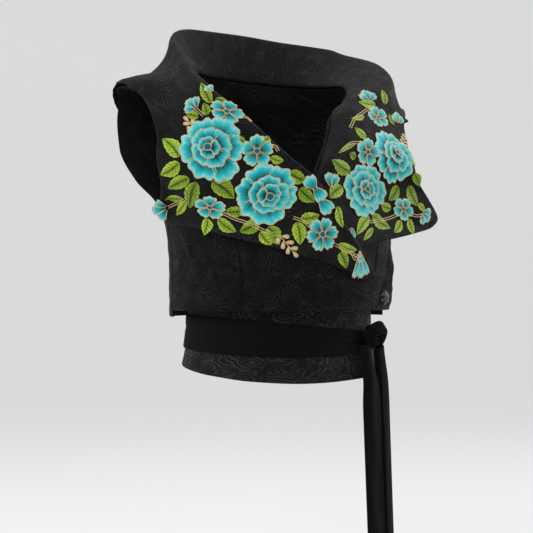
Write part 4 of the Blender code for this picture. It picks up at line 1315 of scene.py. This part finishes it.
# Leaves from base to tip, as they show
Leaf = namedtuple("Leaf", "x z tip_x tip_z width")
NEAR_LEAVES = [
    Leaf(-90, -29, -102, -4, 11),
    Leaf(-84, -24, -67, -33, 9),
    Leaf(-95, -45, -99, -30, 9),
    Leaf(-106, -47, -121, -44, 9),
    Leaf(-131, -99, -152, -77, 16),
    Leaf(-131, -107, -154, -122, 15),
    Leaf(-118, -127, -144, -140, 14),
    Leaf(-109, -132, -117, -164, 16),
    Leaf(-88, -131, -61, -152, 19),
    Leaf(-126, -154, -148, -155, 9),
    Leaf(-122, -157, -134, -174, 9),
    Leaf(-95, -179, -98, -200, 13),
    Leaf(-81, -180, -58, -196, 12),
    Leaf(-70, -171, -44, -169, 11),
    Leaf(-27, -184, -51, -196, 14),
    Leaf(-15, -190, -2, -212, 16),
    Leaf(-26, -197, -11, -213, 10),
    Leaf(22, -184, 26, -212, 15),
    Leaf(27, -180, 50, -175, 12),
    Leaf(12, -120, 33, -130, 15),
    Leaf(25, -141, 44, -157, 15),
    Leaf(-46, -81, -60, -72, 10),
    Leaf(-20, -80, -13, -71, 9),
    Leaf(-12, -100, 4, -104, 9),
    Leaf(76, -213, 99, -220, 10),
    Leaf(78, -223, 86, -243, 12),
]
FAR_LEAVES = [
    Leaf(136, -31, 133, -13, 11),
    Leaf(124, -31, 103, -28, 10),
    Leaf(109, -46, 93, -49, 6),
    Leaf(112, -75, 98, -62, 10),
    Leaf(98, -82, 77, -94, 5),
    Leaf(98, -101, 91, -95, 9),
    Leaf(91, -119, 69, -104, 15),
    Leaf(81, -138, 66, -152, 15),
    Leaf(72, -164, 81, -190, 10),
    Leaf(116, -177, 101, -199, 14),
    Leaf(120, -175, 142, -191, 14),
    Leaf(153, -137, 142, -155, 13),
    Leaf(167, -137, 179, -162, 13),
    Leaf(144, -167, 132, -161, 10),
    Leaf(157, -182, 149, -197, 10),
    Leaf(168, -180, 172, -200, 10),
    Leaf(174, -112, 178, -96, 10),
    Leaf(174, -121, 181, -137, 10),
    Leaf(148, -58, 142, -44, 7),
    Leaf(131, -78, 126, -68, 8),
    Leaf(121, -192, 109, -207, 8),
    Leaf(180, -160, 188, -170, 7),
]
LEAF_LIFT = 0.5
LEAF_ROWS = 33
LEAF_COLUMNS = 17

# The stitching lies on the collar in front of this depth
STITCHED_BEFORE = 30.0
# A motif is dropped onto the cloth by a ray that starts above it, and leaves its own plane by this much
RAY_ABOVE = 22.0
RAY_REACH = 60.0
ROSE_SLACK = 13.0
FLOWER_SLACK = 9.0
BUD_SLACK = 4.0
LEAF_SLACK = 3.5
SPRIG_SLACK = 25.0

# Cream-gold sprigs: base, tip and size of their grains
Sprig = namedtuple("Sprig", "x z tip_x tip_z grain")
SPRIGS = [
    Sprig(-106, -68, -122, -50, 6.6),
    Sprig(0, -202, 20, -226, 7.0),
    Sprig(160, -83, 163, -71, 5.0),
]

# Stems: two cords side by side through these places
STEMS = [
    [(-99, -46), (-110, -36)],
    [(-121, -153), (-146, -165)],
    [(-79, -170), (-58, -180), (-43, -185), (-23, -194), (0, -203)],
    [(17, -178), (30, -183), (42, -193)],
    [(71, -213), (90, -223), (103, -230)],
    [(116, -184), (138, -180), (158, -172)],
    [(119, -34), (107, -42), (97, -50), (91, -62)],
    [(112, -81), (95, -81), (79, -92)],
    [(-12, -84), (-6, -86), (-2, -92)],
    [(-52, -46), (-44, -48), (-37, -54)],
    [(166, -172), (178, -176), (186, -174)],
    [(92, -222), (98, -232), (104, -224)],
]
STEM_GAP = 2.8
CORD_RADIUS = 0.44

AQUA = [
    (0.0, (0.0, 0.03, 0.045)),
    (0.22, (0.0, 0.14, 0.18)),
    (0.46, (0.0, 0.5, 0.55)),
    (0.74, (0.02, 0.76, 0.8)),
    (1.0, (0.42, 1.0, 0.95)),
]
LIME = [
    (0.0, (0.01, 0.03, 0.0)),
    (0.4, (0.07, 0.16, 0.003)),
    (0.75, (0.34, 0.56, 0.014)),
    (1.0, (0.72, 0.95, 0.09)),
]
CREAM = [(0.0, (0.12, 0.06, 0.012)), (0.45, (0.75, 0.5, 0.18)), (1.0, (1.0, 0.88, 0.55))]

# The point from which the photograph was taken
EYE = np.array([
    -VIEW_DISTANCE * math.sin(VIEW_ANGLE) + VIEW_ASIDE * math.cos(VIEW_ANGLE),
    -VIEW_DISTANCE * math.cos(VIEW_ANGLE) - VIEW_ASIDE * math.sin(VIEW_ANGLE),
    VIEW_HEIGHT,
])


def shades(stops, tone):
    """Thread colour at each tone from 0 to 1."""
    places = [stop[0] for stop in stops]
    return np.stack([np.interp(tone, places, [stop[1][axis] for stop in stops]) for axis in range(3)], -1)


def seen(x, z):
    """Where a place of the view lies on the collar, and which way the cloth faces there.

    A place beside the collar, or past its roll, is moved onto the nearest cloth.
    """
    target = np.array([x * math.cos(VIEW_ANGLE), -x * math.sin(VIEW_ANGLE), float(z)])
    way = unit(target - EYE)
    place, normal, _, _ = COLLAR_TREE.ray_cast(Vector(EYE), Vector(way))
    if place is None or place.y > STITCHED_BEFORE:
        place = target
        for _ in range(4):
            near, normal, _, _ = COLLAR_TREE.find_nearest(Vector(place))
            place = EYE + way * ((np.array(near) - EYE) @ way)
    normal = np.array(normal)
    return np.array(place), -normal if normal @ way > 0.0 else normal


class Ground:
    """A flat piece of the collar that a motif is drawn on: q points up, p to the viewer's right."""

    def __init__(self, x, z, facing=0.0, reach=8.0, slack=SPRIG_SLACK):
        self.slack = slack
        self.centre, _ = seen(x, z)
        normals = [seen(x + dx, z + dz)[1] for dx in (-reach, 0, reach) for dz in (-reach, 0, reach)]
        self.normal = unit(np.sum(normals, axis=0))
        up = np.array([0.0, 0.0, 1.0])
        up = unit(up - self.normal * (up @ self.normal))
        right = np.cross(up, self.normal)
        turn = math.radians(facing)
        self.up = up * math.cos(turn) + right * math.sin(turn)
        self.right = right * math.cos(turn) - up * math.sin(turn)

    def seat(self, p, q, lift):
        """Points of the motif, dropped onto the collar and raised by lift."""
        p, q, lift = np.broadcast_arrays(p, q, lift)
        flat = self.centre + self.right * p[..., None] + self.up * q[..., None]
        down = Vector(-self.normal)
        found = []
        for point in flat.reshape(-1, 3):
            above = Vector(point + self.normal * RAY_ABOVE)
            place, _, _, _ = COLLAR_TREE.ray_cast(above, down, RAY_REACH)
            if place is None:
                near, _, _, _ = COLLAR_TREE.find_nearest(Vector(point))
                place = point + self.normal * ((np.array(near) - point) @ self.normal)
            rise = (np.array(place) - point) @ self.normal
            found.append(point + self.normal * np.clip(rise, -self.slack, self.slack))
        return np.array(found).reshape(flat.shape) + self.normal * lift[..., None]

    def place_of(self, x, z):
        """A place of the view in the ground's own p and q."""
        away = seen(x, z)[0] - self.centre
        return away @ self.right, away @ self.up


class Stitching:
    """Patches of satin stitch and cord, gathered into one mesh."""

    def __init__(self):
        self.points, self.faces, self.uvs, self.colours = [], [], [], []
        self.count = 0

    def add_grid(self, points, uv, colour, ring=False):
        """A grid of points with its places on the cloth and its colours. A ring closes its rows."""
        rows, columns = points.shape[:2]
        number = numbered(rows, columns, ring) + self.count
        self.faces.append(grid_faces(number, turned=True))
        self.points.append(points.reshape(-1, 3))
        self.uvs.append(np.broadcast_to(uv, points.shape[:2] + (2,)).reshape(-1, 2))
        self.colours.append(np.broadcast_to(colour, points.shape).reshape(-1, 3))
        self.count += rows * columns

    def add_patch(self, ground, p, q, lift, uv, colour):
        """A raised patch whose border goes down to the cloth."""
        self.add_grid(ground.seat(p, q, lift), uv, colour)

    def add_cord(self, path, normal, radius=CORD_RADIUS, sides=6):
        """A round cord along points that already lie on the collar."""
        path = np.asarray(path)
        along = unit(np.gradient(path, axis=0))
        aside = unit(np.cross(along, normal))
        up = np.cross(aside, along)
        angle = (math.tau * np.arange(sides) / sides)[None, :, None]
        thick = np.full(len(path), radius)
        thick[0] = thick[-1] = 0.3 * radius
        ring = (aside[:, None] * np.cos(angle) + up[:, None] * np.sin(angle)) * thick[:, None, None]
        around = np.arange(sides)[None, :] * 0.6
        uv = np.stack(np.broadcast_arrays(lengths(path, 0)[:, None], around), -1)
        self.add_grid(path[:, None] + ring, uv, (0.8, 0.6, 0.3), ring=True)

    def make(self, name, surface, slot, *nodes):
        """One mesh of everything that was added. It takes the place of those nodes that the part has."""
        faces = np.concatenate(self.faces)
        made = new_mesh(name, np.concatenate(self.points), faces, surface)
        add_places(made, np.concatenate(self.uvs))
        layer = made.data.attributes.new("thread", "FLOAT_COLOR", "POINT")
        colours = np.concatenate(self.colours)
        full = np.concatenate([colours, np.ones((len(colours), 1))], axis=1)
        layer.data.foreach_set("color", full.astype(np.float32).ravel())
        present = [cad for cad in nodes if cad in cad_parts]
        if present:
            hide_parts(*present)


CORDS = Stitching()


def add_petal(
    work,
    ground,
    turn,
    inner,
    outer,
    half,
    lift,
    seed,
    flat=1.0,
    centre=(0.0, 0.0),
    hidden=0.0,
    steps=(10, 16),
):
    """One petal in satin stitch from its base to its scalloped edge, outlined in gold."""
    rng = np.random.default_rng(seed)
    s = np.linspace(0.0, 1.0, steps[0] + 1)[:, None]
    t = np.linspace(-1.0, 1.0, steps[1] + 1)[None, :]
    lobes = 0.045 * np.cos(3.0 * math.pi * t + rng.uniform(-0.6, 0.6))
    lobes = lobes + 0.02 * np.cos(7.0 * t + rng.uniform(0, 6))
    rim = outer * (1.0 - 0.2 * np.abs(t) ** 3.2 + lobes)
    radius = inner + (rim - inner) * s
    angle = math.radians(turn) + math.radians(half) * t * (0.78 + 0.22 * s**0.7)
    p = centre[0] + radius * np.sin(angle)
    q = centre[1] + radius * np.cos(angle) * flat
    dome = np.sin(math.pi * np.clip(s, 0.02, 0.98)) * (1.0 - t**4)
    edge_rise = smooth((s - 0.55) / 0.3) * (1.0 - smooth((s - 0.94) / 0.06)) * (1.0 - t**6)
    height = lift * (0.55 + 0.45 * s) + 0.5 * dome + 0.7 * edge_rise
    border = np.minimum(np.minimum(s, 1.0 - s) * 6.0, (1.0 - np.abs(t)) * 5.0)
    height = height * mix(0.25, 1.0, smooth(border + 0.25 + 0.0 * t))
    thread = rng.uniform(-1.0, 1.0, t.shape)
    # A petal's tone climbs from a dark base to a pale rim: partly the silk's own shading, partly painted
    # shade, darkest in the share that the next ring hides and deepened in the mid tones. The thin darker
    # strip along its sides is painted shade between petals.
    shown = np.clip((s - hidden) / (1.0 - hidden), 0.0, 1.0)
    fade = shown + 0.13 * thread * (1.0 - 0.6 * shown) + 0.1 * np.abs(t) * shown
    tone = 0.1 + 0.95 * np.clip(fade, 0.0, 1.2) ** 1.25
    tone = np.clip(tone - 0.25 * (np.abs(t) > 0.93), 0.0, 1.0)
    uv = np.stack(np.broadcast_arrays(radius, np.radians(half) * t * outer), -1)
    work.add_patch(ground, p, q, height, uv, shades(AQUA, tone))
    outline_p = np.concatenate([p[:, 0], p[-1, 1:-1], p[::-1, -1]])
    outline_q = np.concatenate([q[:, 0], q[-1, 1:-1], q[::-1, -1]])
    path = ground.seat(outline_p, outline_q, lift * 0.75 + 0.25)
    CORDS.add_cord(path, ground.normal)


def add_eye(work, ground, radius, lift, flat=1.0, centre=(0.0, 0.0)):
    """The dark middle of a flower inside a gold ring."""
    s = np.linspace(0.0, 1.0, 6)[:, None]
    angle = (math.tau * np.arange(18) / 17)[None, :]
    p = centre[0] + radius * s * np.cos(angle)
    q = centre[1] + radius * s * np.sin(angle) * flat
    tone = 0.12 + 0.25 * s + 0.1 * np.cos(5.0 * angle) * s
    height = lift + 0.8 * (1.0 - s * s) + 0.0 * angle
    uv = np.stack(np.broadcast_arrays(radius * s, radius * angle), -1)
    work.add_patch(ground, p, q, height, uv, shades(AQUA, tone))
    CORDS.add_cord(ground.seat(p[-1], q[-1], lift + 0.3), ground.normal)


def make_roses():
    """Roses of three rings of petals, whose middle leans away from the rose's own."""
    for number, rose in enumerate(ROSES):
        ground = Ground(rose.x, rose.z, rose.facing, 14.0, ROSE_SLACK)
        turned = math.radians(rose.facing)
        lean_p = rose.lean_x * math.cos(turned) - rose.lean_z * math.sin(turned)
        lean_q = rose.lean_z * math.cos(turned) + rose.lean_x * math.sin(turned)
        work = Stitching()
        for row in ROSE_RINGS:
            share = 1.0 - row.outer
            for petal in range(row.petals):
                seed = 400 + 60 * number + 9 * row.petals + petal
                wobble = np.random.default_rng(seed + 500)
                add_petal(
                    work,
                    ground,
                    row.start + 360.0 * petal / row.petals + wobble.uniform(-8.0, 8.0),
                    rose.radius * row.inner,
                    rose.radius * row.outer * wobble.uniform(0.84, 1.06),
                    row.half * wobble.uniform(0.86, 1.12),
                    row.lift + 0.3 * (petal % 2),
                    seed,
                    rose.flat,
                    (lean_p * share, lean_q * share),
                    row.hidden,
                )
        add_eye(work, ground, rose.radius * 0.12, 3.0, centre=(lean_p, lean_q))
        work.make("stitched_" + rose.name, STITCHED, "turquoise_silk", rose.name)


def make_flowers():
    """Flowers with one ring of petals round a gold-ringed middle."""
    for number, flower in enumerate(FLOWERS):
        ground = Ground(flower.x, flower.z, flower.facing, 8.0, FLOWER_SLACK)
        work = Stitching()
        for petal in range(flower.petals):
            turn = 360.0 * petal / flower.petals
            half = 0.46 * 360.0 / flower.petals
            add_petal(
                work,
                ground,
                turn,
                flower.radius * 0.2,
                flower.radius,
                half,
                0.6,
                700 + 10 * number + petal,
                flower.flat,
                steps=(8, 12),
            )
        add_eye(work, ground, flower.radius * 0.2, 0.8, flower.flat)
        work.make("stitched_" + flower.name, STITCHED, "turquoise_silk", flower.name)


def make_buds():
    """Buds and half flowers as fans of petals."""
    for number, bud in enumerate(BUDS):
        ground = Ground(bud.x, bud.z, bud.facing, 6.0, BUD_SLACK)
        work = Stitching()
        for petal in range(bud.petals):
            turn = (petal - 0.5 * (bud.petals - 1)) * bud.spread / max(1, bud.petals - 1)
            add_petal(
                work,
                ground,
                turn,
                bud.length * 0.12,
                bud.length * (1.0 - 0.2 * abs(turn) / 90.0),
                bud.half,
                0.6,
                800 + 10 * number + petal,
                steps=(8, 10),
            )
        work.make("stitched_" + bud.name, STITCHED, "turquoise_silk", bud.name)


def add_leaf(work, leaf, seed):
    """A pointed leaf in slanting stitches each side of its dark vein."""
    rng = np.random.default_rng(seed)
    ground = Ground(0.5 * (leaf.x + leaf.tip_x), 0.5 * (leaf.z + leaf.tip_z), reach=5.0, slack=LEAF_SLACK)
    base_p, base_q = ground.place_of(leaf.x, leaf.z)
    tip_p, tip_q = ground.place_of(leaf.tip_x, leaf.tip_z)
    length = math.hypot(tip_p - base_p, tip_q - base_q)
    way = np.array([tip_p - base_p, tip_q - base_q]) / length
    most = 1.5 * math.hypot(leaf.tip_x - leaf.x, leaf.tip_z - leaf.z)
    length = 1.06 * min(length, most)
    s = np.linspace(0.0, 1.0, LEAF_ROWS)[:, None]
    t = np.linspace(-1.0, 1.0, LEAF_COLUMNS)[None, :]
    bend = rng.uniform(-0.09, 0.09) * length
    teeth = 1.0 + 0.12 * np.abs(np.sin(5.0 * math.pi * s)) * np.abs(t)
    half = 0.56 * leaf.width * s**0.65 * (1.0 - s) ** 0.95 / 0.34 * teeth
    mid_p = base_p + way[0] * length * s - way[1] * bend * np.sin(math.pi * s)
    mid_q = base_q + way[1] * length * s + way[0] * bend * np.sin(math.pi * s)
    p = mid_p - way[1] * half * t
    q = mid_q + way[0] * half * t
    vein = np.exp(-((t / 0.12) ** 2)) * (s < 0.93)
    slant = np.sin((s * length - np.abs(t) * leaf.width * 0.45) * 1.5 + rng.uniform(0, 6))
    side_vein = np.clip(slant, 0.0, 1.0) ** 4 * smooth(np.abs(t) * 3.0) * smooth((1.0 - np.abs(t)) * 3.0)
    height = LEAF_LIFT + 0.5 * (1.0 - t * t) * np.sin(math.pi * s) - 0.55 * vein - 0.3 * side_vein
    height = np.maximum(height, 0.1) * mix(0.2, 1.0, smooth((1.0 - np.abs(t)) * 5.0 + 0.2))
    speckle = rng.uniform(-1.0, 1.0, (LEAF_ROWS, LEAF_COLUMNS))
    tone = 0.7 + 0.2 * np.abs(t) + 0.16 * speckle - 0.7 * vein - 0.62 * side_vein
    tone = tone + 0.1 * math.sin(seed)
    along = s * length - np.abs(t) * leaf.width * 0.5
    uv = np.stack(np.broadcast_arrays(0.5 * leaf.width * t, along), -1)
    work.add_patch(ground, p, q, height, uv, shades(LIME, np.clip(tone, 0.0, 1.0)))


def make_leaves():
    """The leaves of the right and the left half of the collar, each half as one piece."""
    for name, rows, first in (("near", NEAR_LEAVES, 0), ("far", FAR_LEAVES, 40)):
        work = Stitching()
        for number, leaf in enumerate(rows):
            add_leaf(work, leaf, 500 + first + number)
        nodes = [f"leaf_{name}_{number + 1}" for number in range(len(rows))]
        work.make("stitched_leaves_" + name, STITCHED, "leaf_silk", *nodes)


def make_sprigs():
    """Sprigs of drop-shaped grains in cream gold, in pairs on a gold stem."""
    for number, sprig in enumerate(SPRIGS):
        ground = Ground(0.5 * (sprig.x + sprig.tip_x), 0.5 * (sprig.z + sprig.tip_z))
        base = np.array(ground.place_of(sprig.x, sprig.z))
        tip = np.array(ground.place_of(sprig.tip_x, sprig.tip_z))
        way = tip - base
        length = np.linalg.norm(way)
        way = way / length
        across = np.array([-way[1], way[0]])
        work = Stitching()
        grains = [(1.0, 0.0, 0.0)]
        for pair in range(3):
            for side in (-1.0, 1.0):
                share = 0.12 + 0.3 * pair + 0.05 * side
                grains.append((share, side * (0.72 - 0.08 * pair) * sprig.grain, side * 0.8))
        for share, aside, splay in grains:
            place = base + way * length * share + across * aside
            turned = way * math.cos(splay) + across * math.sin(splay)
            beside = np.array([-turned[1], turned[0]])
            s = np.linspace(0.0, 1.0, 6)[:, None]
            angle = (math.tau * np.arange(17) / 16)[None, :]
            long = 0.64 * sprig.grain * s * np.cos(angle)
            wide = 0.3 * sprig.grain * s * np.sin(angle) * (1.0 + 0.4 * np.cos(angle))
            p = place[0] + turned[0] * long + beside[0] * wide
            q = place[1] + turned[1] * long + beside[1] * wide
            height = 0.3 + 1.0 * (1.0 - s * s) + 0.0 * angle
            tone = 0.95 - 0.75 * s**2 + 0.0 * angle
            uv = np.stack(np.broadcast_arrays(long, wide), -1)
            work.add_patch(ground, p, q, height, uv, shades(CREAM, tone))
            CORDS.add_cord(ground.seat(p[-1], q[-1], 0.5), ground.normal, 0.4)
        work.make(f"stitched_sprig_{number + 1}", STITCHED, "turquoise_silk")
        stem = [base + way * length * share for share in np.linspace(-0.1, 0.9, 9)]
        path = ground.seat(np.array(stem)[:, 0], np.array(stem)[:, 1], 0.9)
        CORDS.add_cord(path, ground.normal, 0.5)


def make_stems():
    """Double gold cords that link the flowers."""
    for stem in STEMS:
        fine = np.linspace(0.0, len(stem) - 1.0, 8 * len(stem))
        line_x, line_z = (through([place[axis] for place in stem])(fine) for axis in range(2))
        places = [seen(x, z) for x, z in zip(line_x, line_z)]
        points = np.array([place for place, _ in places])
        normals = unit(np.array([normal for _, normal in places]))
        along = unit(np.gradient(points, axis=0))
        aside = unit(np.cross(along, normals))
        for side in (-0.5, 0.5):
            CORDS.add_cord(points + aside * side * STEM_GAP + normals * 0.5, normals)


make_roses()
make_flowers()
make_buds()
make_leaves()
make_sprigs()
make_stems()
CORDS.make("gold_cords", GOLD, "turquoise_silk")


# The studio, in metres, with its area lights, which point at one place
FLOOR = -0.66
FLOOR_REACH = 3.4
SWEEP = 1.2
SWEEP_STEPS = 12
BACKDROP_TOP = 4.5
PAPER_GREY = 0.32
PAPER_GLOW = 0.44
WORLD_GLOW = 0.3
LIT_PLACE = Vector((0.0, 0.0, -0.2))
Light = namedtuple("Light", "name place width height power")
LIGHTS = [
    Light("key", (-2.3, -2.2, 1.5), 1.6, 1.6, 56.0),
    Light("rim_right", (2.3, 0.1, 0.5), 0.9, 2.0, 26.0),
    Light("rim_left", (-2.2, 0.9, 0.6), 0.7, 1.8, 24.0),
    Light("overhead", (0.2, 0.3, 2.3), 1.8, 1.8, 40.0),
]


def paper_material():
    """Pale paper that glows a little, so that its shadows stay light."""
    made, _, shader = new_material("studio_paper")
    shader.inputs["Base Color"].default_value = (PAPER_GREY, PAPER_GREY, PAPER_GREY, 1.0)
    shader.inputs["Roughness"].default_value = 0.9
    shader.inputs["Emission Color"].default_value = (1.0, 1.0, 1.0, 1.0)
    shader.inputs["Emission Strength"].default_value = PAPER_GLOW
    return made


def make_studio():
    """A round pale floor that sweeps up into a backdrop on every side."""
    profile = [(FLOOR_REACH, FLOOR)]
    for step in range(1, SWEEP_STEPS + 1):
        angle = 0.5 * math.pi * step / SWEEP_STEPS
        across = FLOOR_REACH + SWEEP * math.sin(angle)
        profile.append((across, FLOOR + SWEEP * (1.0 - math.cos(angle))))
    profile.append((FLOOR_REACH + SWEEP, BACKDROP_TOP))
    sides = 96
    points = [(0.0, 0.0, FLOOR)]
    for across, height in profile:
        for side in range(sides):
            angle = math.tau * side / sides
            points.append((across * math.cos(angle), across * math.sin(angle), height))
    faces = [(0, 1 + side, 1 + (side + 1) % sides) for side in range(sides)]
    for row in range(len(profile) - 1):
        for side in range(sides):
            here = 1 + row * sides
            after = (side + 1) % sides
            faces.append((here + side, here + sides + side, here + sides + after, here + after))
    mesh = bpy.data.meshes.new("studio_backdrop")
    mesh.from_pydata(points, [], faces)
    mesh.shade_smooth()
    mesh.materials.append(paper_material())
    made = bpy.data.objects.new("studio_backdrop", mesh)
    bpy.context.scene.collection.objects.link(made)


def add_light(light):
    """A white area light that points at the garment."""
    data = bpy.data.lights.new(light.name, "AREA")
    data.shape = "RECTANGLE"
    data.size = light.width
    data.size_y = light.height
    data.energy = light.power
    made = bpy.data.objects.new(light.name, data)
    bpy.context.scene.collection.objects.link(made)
    made.location = light.place
    made.rotation_euler = (LIT_PLACE - Vector(light.place)).to_track_quat("-Z", "Y").to_euler()


def make_camera():
    """The photograph's view."""
    back = Vector((-math.sin(VIEW_ANGLE), -math.cos(VIEW_ANGLE), 0.0))
    right = Vector((math.cos(VIEW_ANGLE), -math.sin(VIEW_ANGLE), 0.0))
    place = back * VIEW_DISTANCE + right * VIEW_ASIDE
    place.z = VIEW_HEIGHT
    data = bpy.data.cameras.new("camera")
    data.sensor_width = SENSOR
    data.lens = SENSOR * VIEW_DISTANCE / PICTURE_WIDTH
    made = bpy.data.objects.new("camera", data)
    bpy.context.scene.collection.objects.link(made)
    made.location = place * MM
    made.rotation_euler = (math.radians(90.0), 0.0, -VIEW_ANGLE)
    bpy.context.scene.camera = made


def make_world():
    """Dim, even light from all sides, and colours shown as they are."""
    world = bpy.data.worlds.new("studio")
    bpy.context.scene.world = world
    world.use_nodes = True
    shade = world.node_tree.nodes["Background"]
    shade.inputs["Color"].default_value = (0.93, 0.95, 1.0, 1.0)
    shade.inputs["Strength"].default_value = WORLD_GLOW
    bpy.context.scene.view_settings.view_transform = "Standard"


make_studio()
make_world()
for lamp in LIGHTS:
    add_light(lamp)
make_camera()
